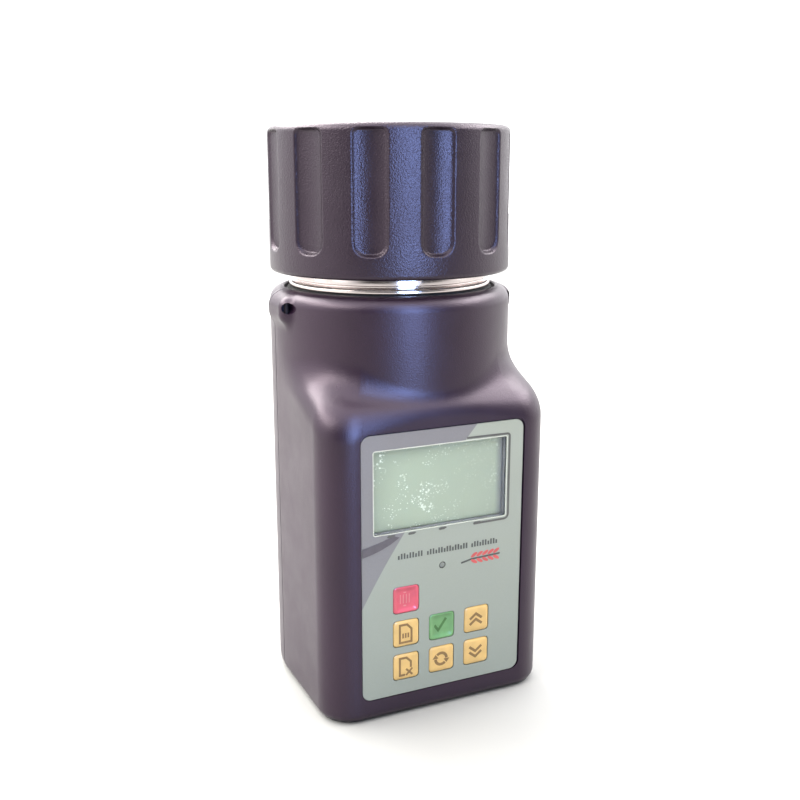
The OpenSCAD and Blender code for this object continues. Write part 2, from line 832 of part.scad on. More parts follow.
// Curved door with grip grooves near its top and a rounded heel at its hinge
module battery_door() color([0.24, 0.22, 0.26]) {
    r_in = neck_r - door_t;
    half_angle = door_angle - door_gap / r_in * 180 / PI;
    difference() {
        translate([0, 0, door_z + door_gap]) back_sector(half_angle) polygon([
            [r_in, 0], [neck_r - door_heel, 0], [neck_r, door_heel],
            [neck_r, door_top_z - door_z - door_gap - door_top_gap],
            [r_in, door_top_z - door_z - door_gap - door_top_gap]
        ]);
        for (drop = door_groove_drops)
            ring(neck_r + 2, neck_r - door_groove, door_top_z - drop, door_top_z - drop + door_groove_w);
        for (s = [-1, 1]) translate([s * (ear_x + ear_w / 2), 0, 0])
            block([-ear_w / 2 - ear_gap, hinge_y - 4, door_z],
                  [ear_w / 2 + ear_gap, neck_r + 2, hinge_z + ear_r + 0.5]);
    }
    for (x = [-ear_x - ear_w, ear_x - ear_gap - 0.5])
        hinge_rod(hinge_pin_r, x, x + ear_w + ear_gap + 0.5);
}

module battery_tray() color([0.14, 0.14, 0.15]) {
    block([-tray_half_w, tray_front_y, tray_z], [tray_half_w, tray_front_y + tray_t, tray_top_z + tray_t]);
    for (z = [tray_z, tray_top_z]) {
        block([-tray_half_w, tray_front_y, z], [tray_half_w, tray_rear_y, z + tray_t]);
        block([-tray_lip_half_w, tray_rear_y - 1, z], [tray_lip_half_w, tray_lip_y, z + tray_t]);
    }
    for (s = [-1, 1])
        block([s * (tray_half_w - tray_t / 2) - tray_t / 2, tray_front_y, tray_z],
              [s * (tray_half_w - tray_t / 2) + tray_t / 2, tray_rear_y, tray_top_z + tray_t]);
}

function cell_x(i) = (i - 1.5) * cell_pitch;

module battery_contacts() color([0.78, 0.79, 0.8])
    for (i = [0:3]) {
        translate([cell_x(i), cell_y, tray_z + tray_t])
            cylinder(r = i % 2 == 0 ? 4.5 : 5.5, h = cell_z - tray_z - tray_t);
        translate([cell_x(i), cell_y, cell_z + cell_l])
            cylinder(r = i % 2 == 0 ? 5.5 : 4.5, h = tray_top_z - cell_z - cell_l);
    }

// One upright cell; flipped cells have their nub at the lower end
module cell(flipped) {
    translate([0, 0, cell_l / 2]) rotate([flipped ? 180 : 0, 0, 0]) translate([0, 0, -cell_l / 2])
        rotate_extrude() polygon(rounded([
            [0, 0, 0], [cell_d / 2, 0, 0.6], [cell_d / 2, cell_l - 1.2, 0.8],
            [2.75, cell_l - 1.2, 0], [2.75, cell_l, 0.3], [0, cell_l, 0]
        ]));
}

module batteries() color([0.15, 0.35, 0.6])
    for (i = [0:3])
        translate([cell_x(i), cell_y, cell_z]) cell(i % 2 == 1);

module battery_leads() color([0.1, 0.1, 0.1])
    for (x = [-6, -2])
        wire([[x, tray_front_y, 26], [x, tray_front_y - 4, 26], [x, 0, 24], [x, -8, 21],
              [x, -18, 20], [x, -25, 22], [x, -28, battery_socket_z],
              [x, board_back_y + socket_h, battery_socket_z]],
             0.8, [1, 0, 0]);

front_shell();
rear_shell();
case_screws();
strap_pins();
sample_cup();
threaded_collar();
cup_seal();
cup_clamp_ring();
centre_electrode();
electrode_insulator();
electrode_nuts();
temperature_sensor();
sensor_board();
sensor_lead();
cap_shell();
cap_thread_insert();
cap_guide_bush();
cap_screws();
thrust_washer();
pressure_spring();
pressure_plate();
pressure_stem();
indicator_pin();
front_label();
display_window();
lcd_frame();
lcd_glass();
lcd_backlight();
status_light();
main_board();
board_screws();
key_switches();
power_key();
confirm_key();
up_key();
down_key();
cycle_key();
page_key();
delete_key();
battery_door();
battery_tray();
battery_contacts();
batteries();
battery_leads();
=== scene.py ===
import json
import math

import bmesh
import bpy
import numpy as np
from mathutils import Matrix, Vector


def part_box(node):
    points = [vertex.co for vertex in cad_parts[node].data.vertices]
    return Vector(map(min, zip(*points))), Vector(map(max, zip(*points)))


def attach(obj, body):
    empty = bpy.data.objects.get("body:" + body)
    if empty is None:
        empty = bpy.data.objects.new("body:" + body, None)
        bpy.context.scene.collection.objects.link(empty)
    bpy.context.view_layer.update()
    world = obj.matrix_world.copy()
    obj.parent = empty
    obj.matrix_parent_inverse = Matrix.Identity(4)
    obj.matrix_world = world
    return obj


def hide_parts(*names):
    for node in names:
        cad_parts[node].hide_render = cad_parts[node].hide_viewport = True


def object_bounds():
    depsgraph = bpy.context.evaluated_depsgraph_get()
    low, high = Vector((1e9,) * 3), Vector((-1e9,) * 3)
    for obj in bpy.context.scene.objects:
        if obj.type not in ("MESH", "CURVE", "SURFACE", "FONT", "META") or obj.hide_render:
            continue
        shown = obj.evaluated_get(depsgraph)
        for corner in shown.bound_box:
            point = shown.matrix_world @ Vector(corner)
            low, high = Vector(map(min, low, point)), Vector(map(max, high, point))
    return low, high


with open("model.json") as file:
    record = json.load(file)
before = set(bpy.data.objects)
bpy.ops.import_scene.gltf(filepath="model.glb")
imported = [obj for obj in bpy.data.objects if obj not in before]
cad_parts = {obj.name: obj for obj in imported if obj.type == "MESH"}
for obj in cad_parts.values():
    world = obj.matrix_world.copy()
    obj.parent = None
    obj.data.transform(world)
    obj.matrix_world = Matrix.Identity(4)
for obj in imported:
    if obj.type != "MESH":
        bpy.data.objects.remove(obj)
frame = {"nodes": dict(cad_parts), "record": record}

CAD_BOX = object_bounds()
MM = 0.001
TURN = 2 * math.pi


# ------------------------------------------------------------ frame sizes, in millimetres

def box_mm(node):
    low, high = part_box(node)
    return np.array(low) / MM, np.array(high) / MM


def centre_mm(node):
    low, high = box_mm(node)
    return (low + high) / 2


CASE_LOW, CASE_HIGH = box_mm("front_shell")
NECK_R = box_mm("rear_shell")[1][1]
FRONT_Y = CASE_LOW[1]
RIM_Z = CASE_HIGH[2]
SEAM_Y = CASE_HIGH[1]
SIDE_DRAFT = math.radians(0.9)
WALL = 2.5
CORNER_R = 11.5
BASE_ROUND = 3.5
RIM_ROUND = 4.9
LUG_R = 3.5
LUG_X = CASE_HIGH[0] - LUG_R
LUG_Z = 134.2
PIN_X, PIN_Y = 40.75, -9.2
INSIDE_Y = -38
CAP_LOW, CAP_HIGH = box_mm("cap_shell")
CAP_R = CAP_HIGH[0]
LABEL_LOW, LABEL_HIGH = box_mm("front_label")
KEYS = ("power_key", "confirm_key", "up_key", "down_key", "cycle_key", "page_key", "delete_key")
KEY_W = 9.3
VIEW_W, VIEW_H = 47.7, 27.5
VIEW_X, VIEW_Z = -0.95, 78.75
PRINT_Y = LABEL_LOW[1] - 0.03


# ------------------------------------------------------------ mesh helpers

def in_scene(name, data):
    """New object in the scene that shows data."""
    obj = bpy.data.objects.new(name, data)
    bpy.context.scene.collection.objects.link(obj)
    return obj


def new_object(name, verts, faces):
    """Mesh object from points in millimetres, with outward normals."""
    mesh = bpy.data.meshes.new(name)
    mesh.from_pydata([tuple(v) for v in np.asarray(verts, float) * MM], [], faces)
    work = bmesh.new()
    work.from_mesh(mesh)
    bmesh.ops.recalc_face_normals(work, faces=work.faces)
    work.to_mesh(mesh)
    work.free()
    return in_scene(name, mesh)


def place(obj, body, material, nodes=(), angle=35):
    """Gives a finished piece its material and hangs it on its body."""
    obj.data.shade_smooth()
    obj.data.set_sharp_from_angle(angle=math.radians(angle))
    obj.data.materials.clear()
    obj.data.materials.append(material)
    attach(obj, body)
    if nodes:
        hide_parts(*nodes)


def dress(obj, body, slot, nodes=(), angle=35):
    """Places a finished piece in the material that its slot names."""
    place(obj, body, MATERIALS[slot], nodes, angle)


def cut(target, tool, operation="DIFFERENCE"):
    """Boolean of target with tool; the tool is removed."""
    modifier = target.modifiers.new("cut", "BOOLEAN")
    modifier.operation = operation
    modifier.solver = "MANIFOLD"
    modifier.object = tool
    graph = bpy.context.evaluated_depsgraph_get()
    mesh = bpy.data.meshes.new_from_object(target.evaluated_get(graph))
    target.modifiers.clear()
    old = target.data
    target.data = mesh
    bpy.data.meshes.remove(old)
    bpy.data.objects.remove(tool)


def join(name, parts):
    """One object from several, which don't overlap."""
    work = bmesh.new()
    for part in parts:
        work.from_mesh(part.data)
        bpy.data.objects.remove(part)
    mesh = bpy.data.meshes.new(name)
    work.to_mesh(mesh)
    work.free()
    return in_scene(name, mesh)


def corner_arc(a, b, c, radius, steps):
    """Corner b of the path a-b-c as an arc tangent to both legs."""
    a, b, c = (np.asarray(p, float) for p in (a, b, c))
    if radius <= 0:
        return [b]
    u, v = a - b, c - b
    length_u, length_v = np.linalg.norm(u), np.linalg.norm(v)
    u, v = u / length_u, v / length_v
    half = math.acos(max(-1.0, min(1.0, float(u @ v)))) / 2
    if half > math.pi / 2 - 0.005:
        return [b]
    reach = min(radius / math.tan(half), 0.49 * min(length_u, length_v))
    radius = reach * math.tan(half)
    centre = b + (u + v) / np.linalg.norm(u + v) * radius / math.sin(half)
    p, q = b + u * reach - centre, b + v * reach - centre
    start = math.atan2(p[1], p[0])
    turn = math.atan2(p[0] * q[1] - p[1] * q[0], float(p @ q))
    angles = [start + turn * i / steps for i in range(steps + 1)]
    return [centre + radius * np.array([math.cos(t), math.sin(t)]) for t in angles]


def rounded(points, steps=6):
    """Closed outline through points (x, y, corner radius)."""
    outline = []
    for i, (x, y, radius) in enumerate(points):
        before, after = points[i - 1], points[(i + 1) % len(points)]
        outline += corner_arc(before[:2], (x, y), after[:2], radius, steps)
    return outline


def rect(w, h, radius=0.0, steps=6):
    """Closed outline of a rounded rectangle, centred."""
    corners = [(-w / 2, -h / 2), (w / 2, -h / 2), (w / 2, h / 2), (-w / 2, h / 2)]
    return rounded([(x, y, radius) for x, y in corners], steps)


def circle(radius, count):
    """Closed outline of a circle, centred."""
    angles = np.arange(count) * TURN / count
    return np.column_stack([radius * np.cos(angles), radius * np.sin(angles)])


def upright(outline, y, x=0.0, z=0.0):
    """Outline in X and Z as a loop of 3-D points at y."""
    outline = np.asarray(outline, float)
    return np.column_stack([outline[:, 0] + x, np.full(len(outline), y), outline[:, 1] + z])


def level(phi, r, z):
    """Loop of points at angles phi, radius r and height z about the cup axis."""
    return np.column_stack([r * np.cos(phi), r * np.sin(phi), np.broadcast_to(z, phi.shape)])


def quarter(radius, steps):
    """Steps (inset, advance) of a quarter round, from a full inset to none."""
    turns = np.linspace(0, math.pi / 2, steps)
    return [(radius * (1 - math.sin(t)), radius * (1 - math.cos(t))) for t in turns]


def ring_faces(rows, columns, closed=False):
    """Quads between consecutive rows of a closed tube, with end faces or joined end to end."""
    faces = []
    last = rows if closed else rows - 1
    for i in range(last):
        low, high = i * columns, (i + 1) % rows * columns
        for j in range(columns):
            k = (j + 1) % columns
            faces.append((low + j, low + k, high + k, high + j))
    if not closed:
        faces.append(tuple(range(columns - 1, -1, -1)))
        faces.append(tuple((rows - 1) * columns + j for j in range(columns)))
    return faces


def loft(name, loops, closed=False):
    """Tube through loops of 3-D points, all of one length, capped at both ends."""
    return new_object(name, np.concatenate(loops), ring_faces(len(loops), len(loops[0]), closed))


def lathe(name, profile, segments=144, steps=6):
    """Solid turned about the cup axis from points (r, z, corner radius), r above 0 for a ring."""
    outline = rounded(profile, steps)
    angles = np.arange(segments) * TURN / segments
    is_ring = min(r for r, _ in outline) > 1e-6
    return loft(name, [level(angles, r, z) for r, z in outline if r > 1e-6], is_ring)


def swept(name, profile, half_angle, count):
    """Profile of points (r, z) swept about the cup axis, half_angle to each side of the back."""
    angles = math.pi / 2 + np.linspace(-half_angle, half_angle, count)
    return loft(name, [np.array([(r * math.cos(t), r * math.sin(t), z) for r, z in profile]) for t in angles])


def prism_z(name, plan, heights):
    """Outline in X and Y carried up through the heights."""
    return loft(name, [np.column_stack([plan, np.full(len(plan), z)]) for z in heights])


def prism_y(name, outline, y0, y1, x=0.0, z=0.0, bevel=0.0, steps=3):
    """Outline in X and Z carried along Y; bevel rounds the front edge at y0."""
    shape = np.asarray(outline, float)
    middle = (shape.max(0) + shape.min(0)) / 2
    half = (shape.max(0) - shape.min(0)) / 2
    stations = [(inset, y0 + on) for inset, on in quarter(bevel, steps + 1)] if bevel else [(0.0, y0)]
    loops = []
    for inset, y in stations + [(0.0, y1)]:
        ring = middle + (shape - middle) * (1 - inset / half)
        loops.append(upright(ring, y, x, z))
    return loft(name, loops)


def rod_y(name, radius, y0, y1, x, z, sides=48):
    return prism_y(name, circle(radius, sides), y0, y1, x, z)


def half_space(front):
    """Large block in front of the seam, or behind it, leaving the seam's hairline gap."""
    gap = 0.22
    y0, y1 = (-90, SEAM_Y - gap) if front else (SEAM_Y + gap, 90)
    return prism_y("half", rect(200, 400), y0, y1)


# ------------------------------------------------------------ material helpers

RANGE_SOCKETS = ("From Min", "From Max", "To Min", "To Max")


class Nodes:
    """Short way to build a node tree for one material."""

    def __init__(self, name, base, roughness, **sockets):
        self.material = bpy.data.materials.new(name)
        self.material.use_nodes = True
        self.tree = self.material.node_tree
        self.tree.nodes.clear()
        output = self.add("ShaderNodeOutputMaterial")
        self.shader = self.add("ShaderNodeBsdfPrincipled")
        self.link(self.shader.outputs["BSDF"], output.inputs["Surface"])
        self.shader.inputs["Base Color"].default_value = (*base, 1)
        self.shader.inputs["Roughness"].default_value = roughness
        for socket, value in sockets.items():
            self.shader.inputs[socket.replace("_", " ")].default_value = value
        self.place = self.add("ShaderNodeTexCoord").outputs["Object"]

    def add(self, kind, **settings):
        node = self.tree.nodes.new(kind)
        for key, value in settings.items():
            setattr(node, key, value)
        return node

    def link(self, source, target):
        self.tree.links.new(source, target)

    def feed(self, socket, value):
        """Sets a socket to a number or a colour, or links it to another node's output."""
        if isinstance(value, tuple):
            socket.default_value = (*value, 1)
        elif isinstance(value, (int, float)):
            socket.default_value = value
        else:
            self.link(value, socket)

    def noise(self, size, detail=2.0, stretch=(1, 1, 1)):
        """Noise with features of about size millimetres, from 0 to 1."""
        node = self.add("ShaderNodeTexNoise")
        node.inputs["Scale"].default_value = 1 / (size * MM)
        node.inputs["Detail"].default_value = detail
        self.link(self.stretched(stretch), node.inputs["Vector"])
        return node.outputs["Fac"]

    def cells(self, size, feature="F1"):
        node = self.add("ShaderNodeTexVoronoi", feature=feature)
        node.inputs["Scale"].default_value = 1 / (size * MM)
        self.link(self.place, node.inputs["Vector"])
        return node

    def stretched(self, stretch):
        if tuple(stretch) == (1, 1, 1):
            return self.place
        node = self.add("ShaderNodeVectorMath", operation="MULTIPLY")
        node.inputs[1].default_value = stretch
        self.link(self.place, node.inputs[0])
        return node.outputs[0]

    def span(self, value, low, high, to_low=0.0, to_high=1.0):
        """Maps value from low..high to to_low..to_high, clamped."""
        node = self.add("ShaderNodeMapRange")
        for socket, number in zip(RANGE_SOCKETS, (low, high, to_low, to_high)):
            node.inputs[socket].default_value = number
        self.link(value, node.inputs["Value"])
        return node.outputs["Result"]

    def math(self, operation, a, b=0.0):
        node = self.add("ShaderNodeMath", operation=operation)
        self.feed(node.inputs[0], a)
        self.feed(node.inputs[1], b)
        return node.outputs[0]

    def axis(self, letter):
        """Object coordinate in millimetres."""
        node = self.add("ShaderNodeSeparateXYZ")
        self.link(self.place, node.inputs[0])
        return self.math("MULTIPLY", node.outputs[letter], 1 / MM)

    def mix(self, factor, a, b):
        node = self.add("ShaderNodeMix", data_type="RGBA")
        for socket, value in zip(("Factor", 6, 7), (factor, a, b)):
            self.feed(node.inputs[socket], value)
        return node.outputs[2]

    def colour(self, value):
        self.link(value, self.shader.inputs["Base Color"])

    def rough(self, value):
        self.link(value, self.shader.inputs["Roughness"])

    def bump(self, height, depth, strength=1.0):
        """Bump of the given depth in millimetres."""
        node = self.add("ShaderNodeBump")
        node.inputs["Strength"].default_value = strength
        node.inputs["Distance"].default_value = depth * MM
        self.link(height, node.inputs["Height"])
        self.link(node.outputs["Normal"], self.shader.inputs["Normal"])

    def wear(self, amount):
        """0 on flats and hollows, rising on raised edges."""
        node = self.add("ShaderNodeNewGeometry")
        return self.span(node.outputs["Pointiness"], 0.52, 0.60, 0.0, amount)


def shade(base, factor):
    return tuple(min(1.0, c * factor) for c in base)


def moulded(name, base, roughness, grain, depth):
    """Dark moulded plastic with a spark-eroded grain, polished a little by handling."""
    n = Nodes(name, base, roughness, Specular_Tint=(1.0, 0.84, 1.0, 1.0))
    blotches = n.noise(22, 3)
    streaks = n.noise(9, 3)
    tone = n.mix(n.span(blotches, 0.35, 0.65), shade(base, 0.9), shade(base, 1.15))
    rubbed = tuple(c * 1.6 + 0.006 for c in base)
    n.colour(n.mix(n.wear(0.45), tone, rubbed))
    sheen = n.span(streaks, 0.3, 0.7, roughness - 0.03, roughness + 0.03)
    n.rough(n.math("SUBTRACT", sheen, n.wear(0.10)))
    pits = n.cells(grain)
    fine = n.noise(grain * 0.6, 2)
    height = n.math("ADD", n.math("MULTIPLY", pits.outputs["Distance"], 0.6), fine)
    n.bump(height, depth)
    return n.material


def turned_metal(name, base, roughness, line=0.12, depth=0.002):
    """Metal turned on a lathe: fine rings, light smears and small scratches."""
    n = Nodes(name, base, roughness, Metallic=1.0)
    rings = n.noise(line, 2, (0.02, 0.02, 1))
    smears = n.noise(9, 4, (1, 1, 0.4))
    scratches = n.noise(0.5, 3, (1, 1, 0.08))
    n.rough(n.math("ADD", n.span(smears, 0.3, 0.75, roughness * 0.7, roughness * 1.5),
                   n.span(scratches, 0.62, 0.72, 0.0, 0.08)))
    n.colour(n.mix(n.span(smears, 0.4, 0.8), base, shade(base, 0.88)))
    n.bump(rings, depth, 0.4)
    return n.material


def simple(name, base, roughness, mottle=0.12, **sockets):
    """Plain coloured part with slight mottling, a fine surface grain and uneven gloss."""
    n = Nodes(name, base, roughness, **sockets)
    patches = n.noise(4, 3)
    n.colour(n.mix(n.span(patches, 0.3, 0.7), shade(base, 1 - mottle), shade(base, 1 + mottle)))
    n.rough(n.span(n.noise(1.5, 3), 0.3, 0.7, roughness * 0.85, min(1.0, roughness * 1.2)))
    n.bump(n.noise(0.5, 2), 0.008, 0.4)
    return n.material


def label_print():
    """Two-tone printed film: violet grey towards the top left, green grey elsewhere."""
    n = Nodes("label_film", (0.5, 0.5, 0.5), 0.22, Coat_Weight=0.6, Coat_Roughness=0.08)
    x, z = n.axis("X"), n.axis("Z")
    rise = n.math("SUBTRACT", z, 39.9)
    bend = n.math("MULTIPLY", n.math("MULTIPLY", rise, rise), 0.00275)
    curve = n.math("ADD", n.math("MULTIPLY", rise, 0.55), bend)
    past = n.math("SUBTRACT", x, n.math("SUBTRACT", curve, 29.4))
    green_side = n.span(past, -0.12, 0.12)
    fade = n.span(z, LABEL_LOW[2], LABEL_HIGH[2])
    flecks = n.noise(0.5, 2)
    violet = n.mix(fade, (0.182, 0.187, 0.20), (0.196, 0.191, 0.212))
    green = n.mix(fade, (0.25, 0.285, 0.256), (0.335, 0.37, 0.327))
    tone = n.mix(green_side, violet, green)
    n.colour(n.mix(n.span(flecks, 0.35, 0.65, 0.0, 0.02), tone, (0.6, 0.62, 0.6)))
    n.rough(n.span(n.noise(6, 1), 0.3, 0.7, 0.31, 0.38))
    n.bump(n.noise(0.35, 2), 0.003, 0.3)
    return n.material


def display_face():
    """Unlit display: pale green, with painted shade towards its edges and right side, and painted glints as
    bright specks.
    """
    n = Nodes("lcd_cell", (0.5, 0.6, 0.5), 0.25, Coat_Weight=0.3)
    low, high = box_mm("lcd_glass")
    x = n.span(n.axis("X"), low[0], high[0])
    z = n.span(n.axis("Z"), low[2], high[2])
    edge = n.math("MULTIPLY", n.math("MULTIPLY", x, n.math("SUBTRACT", 1.0, x)),
                  n.math("MULTIPLY", z, n.math("SUBTRACT", 1.0, z)))
    # Painted shade: darker towards the edges, where the frame shades the panel, and towards the right side.
    base = n.mix(n.span(edge, 0.0, 0.03), (0.43, 0.49, 0.38), (0.485, 0.555, 0.42))
    base = n.mix(n.span(x, 0.3, 0.9), base, (0.45, 0.50, 0.39))
    # Painted shadow: the right edge turns grey where the bezel wall shades the panel.
    base = n.mix(n.span(x, 0.93, 0.985), base, (0.26, 0.265, 0.28))
    # Painted glints: clusters of bright specks, most of them on the left, where dust in the protective film
    # catches the light.
    fine, coarse = n.cells(0.8), n.cells(1.4)
    glint_clusters = n.math("MULTIPLY", n.span(coarse.outputs["Distance"], 0.34, 0.27),
                      n.span(n.noise(9, 1), 0.52, 0.56))
    glint_dots = n.math("MAXIMUM", n.span(fine.outputs["Distance"], 0.27, 0.2), glint_clusters)
    left = n.span(x, 0.75, 0.3, 0.25, 1.0)
    where = n.math("MULTIPLY", n.span(n.noise(5, 2), 0.5, 0.56), left)
    n.colour(n.mix(n.math("MULTIPLY", glint_dots, where), base, (0.95, 1.0, 0.88)))
    n.rough(n.span(n.noise(2, 2), 0.3, 0.7, 0.3, 0.38))
    n.bump(n.noise(0.2, 1), 0.002, 0.3)
    return n.material


def clear_window():
    n = Nodes("window_clear", (0.97, 0.99, 0.98), 0.03, Transmission_Weight=1.0, IOR=1.12)
    n.rough(n.span(n.noise(5, 3), 0.4, 0.7, 0.01, 0.06))
    n.bump(n.noise(6, 2), 0.02, 0.3)
    return n.material


def floor_surface():
    n = Nodes("floor", (0.28, 0.28, 0.28), 0.55)
    n.colour(n.mix(n.span(n.noise(90, 3), 0.3, 0.7), (0.27, 0.27, 0.265), (0.30, 0.30, 0.295)))
    n.bump(n.noise(0.8, 3), 0.01, 0.2)
    return n.material


def circuit():
    n = Nodes("circuit_board", (0.02, 0.14, 0.06), 0.35)
    tracks = n.cells(2.2, "DISTANCE_TO_EDGE")
    lines = n.span(tracks.outputs["Distance"], 0.03, 0.06, 1.0, 0.0)
    n.colour(n.mix(lines, (0.02, 0.14, 0.06), (0.05, 0.25, 0.11)))
    n.rough(n.span(n.noise(3, 2), 0.3, 0.7, 0.28, 0.42))
    n.bump(lines, 0.03, 0.5)
    return n.material


GLOSSY = {"Coat_Weight": 0.3}
TURNED = {
    # The collar's warm pinkish tint is painted reflection: it stands in for the warm patch the chrome
    # mirrors, as chrome itself is neutral.
    "collar_chrome": ((0.74, 0.66, 0.64), 0.1, 0.3, 0.0006),
    "cup_steel": ((0.66, 0.66, 0.67), 0.24),
    "fastener_steel": ((0.6, 0.6, 0.62), 0.3),
    "clamp_aluminium": ((0.75, 0.76, 0.77), 0.32),
    "bush_brass": ((0.78, 0.58, 0.27), 0.26),
}
PLAIN = {
    "insulator_plastic": ((0.78, 0.76, 0.70), 0.45),
    "seal_rubber": ((0.012, 0.012, 0.012), 0.7),
    "lead_red": ((0.5, 0.03, 0.03), 0.45),
    "lead_black": ((0.015, 0.015, 0.015), 0.45),
    "indicator_red": ((0.6, 0.04, 0.03), 0.3),
    "lcd_bezel": ((0.5, 0.5, 0.52), 0.5),
    "light_guide": ((0.75, 0.82, 0.74), 0.4),
    "switch_plastic": ((0.03, 0.03, 0.03), 0.5),
    "tray_plastic": ((0.02, 0.02, 0.022), 0.5),
    "cell_wrap": ((0.02, 0.07, 0.22), 0.36),
    "ink_brown": ((0.22, 0.13, 0.045), 0.4),
    "ink_grey": ((0.07, 0.075, 0.07), 0.4),
    "ink_red": ((0.55, 0.09, 0.09), 0.4),
    "ink_green": ((0.05, 0.15, 0.035), 0.4),
    "ink_rose": ((0.62, 0.20, 0.22), 0.4),
    "line_light": ((0.60, 0.63, 0.57), 0.35),
    # line_dark serves both the printed dark line and the painted shade of the dashes below the window.
    "line_dark": ((0.095, 0.095, 0.09), 0.35),
    # Colour of the painted shade of the film crease below the window.
    "sweep_painted_shade": ((0.095, 0.085, 0.10), 0.36),
}
MATERIALS = {
    "shell_plastic": moulded("shell_plastic", (0.011, 0.0035, 0.011), 0.36, 0.5, 0.035),
    "cap_plastic": moulded("cap_plastic", (0.008, 0.003, 0.008), 0.34, 0.62, 0.09),
    "circuit_board": circuit(),
    "label_film": label_print(),
    "window_clear": clear_window(),
    "lcd_cell": display_face(),
    "light_lens": simple("light_lens", (0.2, 0.22, 0.21), 0.15, Coat_Weight=0.5),
    "key_red": simple("key_red", (0.60, 0.078, 0.125), 0.37, 0.1, **GLOSSY),
    "key_green": simple("key_green", (0.13, 0.31, 0.115), 0.37, 0.1, **GLOSSY),
    "key_yellow": simple("key_yellow", (0.65, 0.43, 0.15), 0.38, 0.08, **GLOSSY),
}
MATERIALS.update({name: turned_metal(name, *look) for name, look in TURNED.items()})
MATERIALS.update({name: simple(name, *look) for name, look in PLAIN.items()})
# The strap pins are steel, but get a near-black, dull finish with weak reflection: painted shade of the lug
# holes they sit in.
PIN_PAINTED_SHADE = simple("pin_painted_shade", (0.02, 0.012, 0.016), 0.7, Specular_IOR_Level=0.25)


# ------------------------------------------------------------ case

def plan_radius(phi, inset=0.0):
    """Distance from the cup axis to the case's plan outline, moved in by inset."""
    neck, f, c = NECK_R - inset, -FRONT_Y - inset, CORNER_R - inset
    lean, upright = math.sin(SIDE_DRAFT), math.cos(SIDE_DRAFT)
    co, si = np.abs(np.cos(phi)), np.maximum(-np.sin(phi), 0.0)
    side = neck / np.maximum(co * upright + si * lean, 1e-9)
    front = f / np.maximum(si, 1e-9)
    flat = np.minimum(side, front)
    centre_y = f - c
    centre_x = (neck - c - centre_y * lean) / upright
    along = co * centre_x + si * centre_y
    inside = np.maximum(along ** 2 - centre_x ** 2 - centre_y ** 2 + c ** 2, 0.0)
    corner = along + np.sqrt(inside)
    block = np.where((flat * co > centre_x) & (flat * si > centre_y + c * lean), corner, flat)
    return np.where(si > lean, np.maximum(block, neck), neck)


SHOULDER_LOW, SHOULDER_HIGH = 86.0, 126.0
SHOULDER_REACH = 34.0
CONVEX_R, CONCAVE_R = 13.0, 16.0


def shoulder(phi, inset, samples):
    """Meridian of the shoulder at angle phi: points (r, z) from the wall up to the neck."""
    wall = float(plan_radius(np.array([phi]), inset)[0])
    neck = NECK_R - inset
    if wall - neck < 0.02:
        z = np.linspace(SHOULDER_LOW, SHOULDER_HIGH, samples)
        return np.full(samples, wall), z
    back = NECK_R + neck * math.sin(phi)
    eased = SHOULDER_REACH * math.tanh(back / SHOULDER_REACH)
    outer_z = 103.6 + 0.17 * eased - 0.2 * max(wall - neck - 2.5, 0.0) - inset
    inner_z = 107.4 + 0.44 * eased - inset
    corners = [(wall, SHOULDER_LOW), (wall, outer_z), (neck, inner_z), (neck, SHOULDER_HIGH)]
    path = [np.array(corners[0])]
    path += corner_arc(corners[0], corners[1], corners[2], CONVEX_R - inset / 2, 14)
    path += corner_arc(corners[1], corners[2], corners[3], CONCAVE_R + inset / 2, 14)
    path.append(np.array(corners[3]))
    path = np.array(path)
    steps = np.r_[0, np.cumsum(np.linalg.norm(np.diff(path, axis=0), axis=1))]
    at = np.linspace(0, steps[-1], samples)
    return np.interp(at, steps, path[:, 0]), np.interp(at, steps, path[:, 1])


def neck_radius(phi, z):
    """Outer radius of the neck with its rounded rim and the strap lugs blended on."""
    low, high = np.full(phi.shape, 30.0), np.full(phi.shape, 48.0)
    for _ in range(40):
        r = (low + high) / 2
        x, y = np.abs(r * np.cos(phi)), r * np.sin(phi)
        a = np.maximum(r - NECK_R + RIM_ROUND, 0)
        b = max(z - RIM_Z + RIM_ROUND, 0)
        neck = np.sqrt(a * a + b * b) - RIM_ROUND
        along = y - np.clip(y, -8.0, 1.5)
        above = z - min(max(z, LUG_Z - 2.2), LUG_Z)
        end = np.sqrt((x - LUG_X) ** 2 + above ** 2 + along ** 2) - LUG_R
        blend = 2.2
        h = np.maximum(blend - np.abs(neck - end), 0) / blend
        field = np.minimum(neck, end) - h * h * blend / 4
        high = np.where(field > 0, r, high)
        low = np.where(field > 0, low, r)
    return (low + high) / 2


def case_columns():
    """Angles round the case, closer together at the lugs and front corners."""
    even = np.linspace(-math.pi, math.pi, 361)[:-1]
    lug = np.radians(np.arange(-19, 11, 0.5))
    corner = np.radians(np.arange(-62, -30, 0.75))
    extra = np.concatenate([lug, math.pi - lug, corner, math.pi - corner])
    extra = (extra + math.pi) % TURN - math.pi
    angles = np.sort(np.unique(np.round(np.concatenate([even, extra]), 5)))
    return angles[np.r_[True, np.diff(angles) > 0.002]]


def case_rows(phi, inset):
    """Loops of the case's surface from the base to the neck, outside or moved in."""
    rows = [(plan_radius(phi, inset + more), inset + up) for more, up in quarter(BASE_ROUND - inset / 2, 9)]
    rows += [(plan_radius(phi, inset), z) for z in np.linspace(8, SHOULDER_LOW, 16)[:-1]]
    samples = 46 if inset == 0 else 24
    curves = np.array([shoulder(p, inset, samples) for p in phi])
    rows += [(curves[:, 0, k], curves[:, 1, k]) for k in range(samples)]
    return [level(phi, r, z) for r, z in rows]


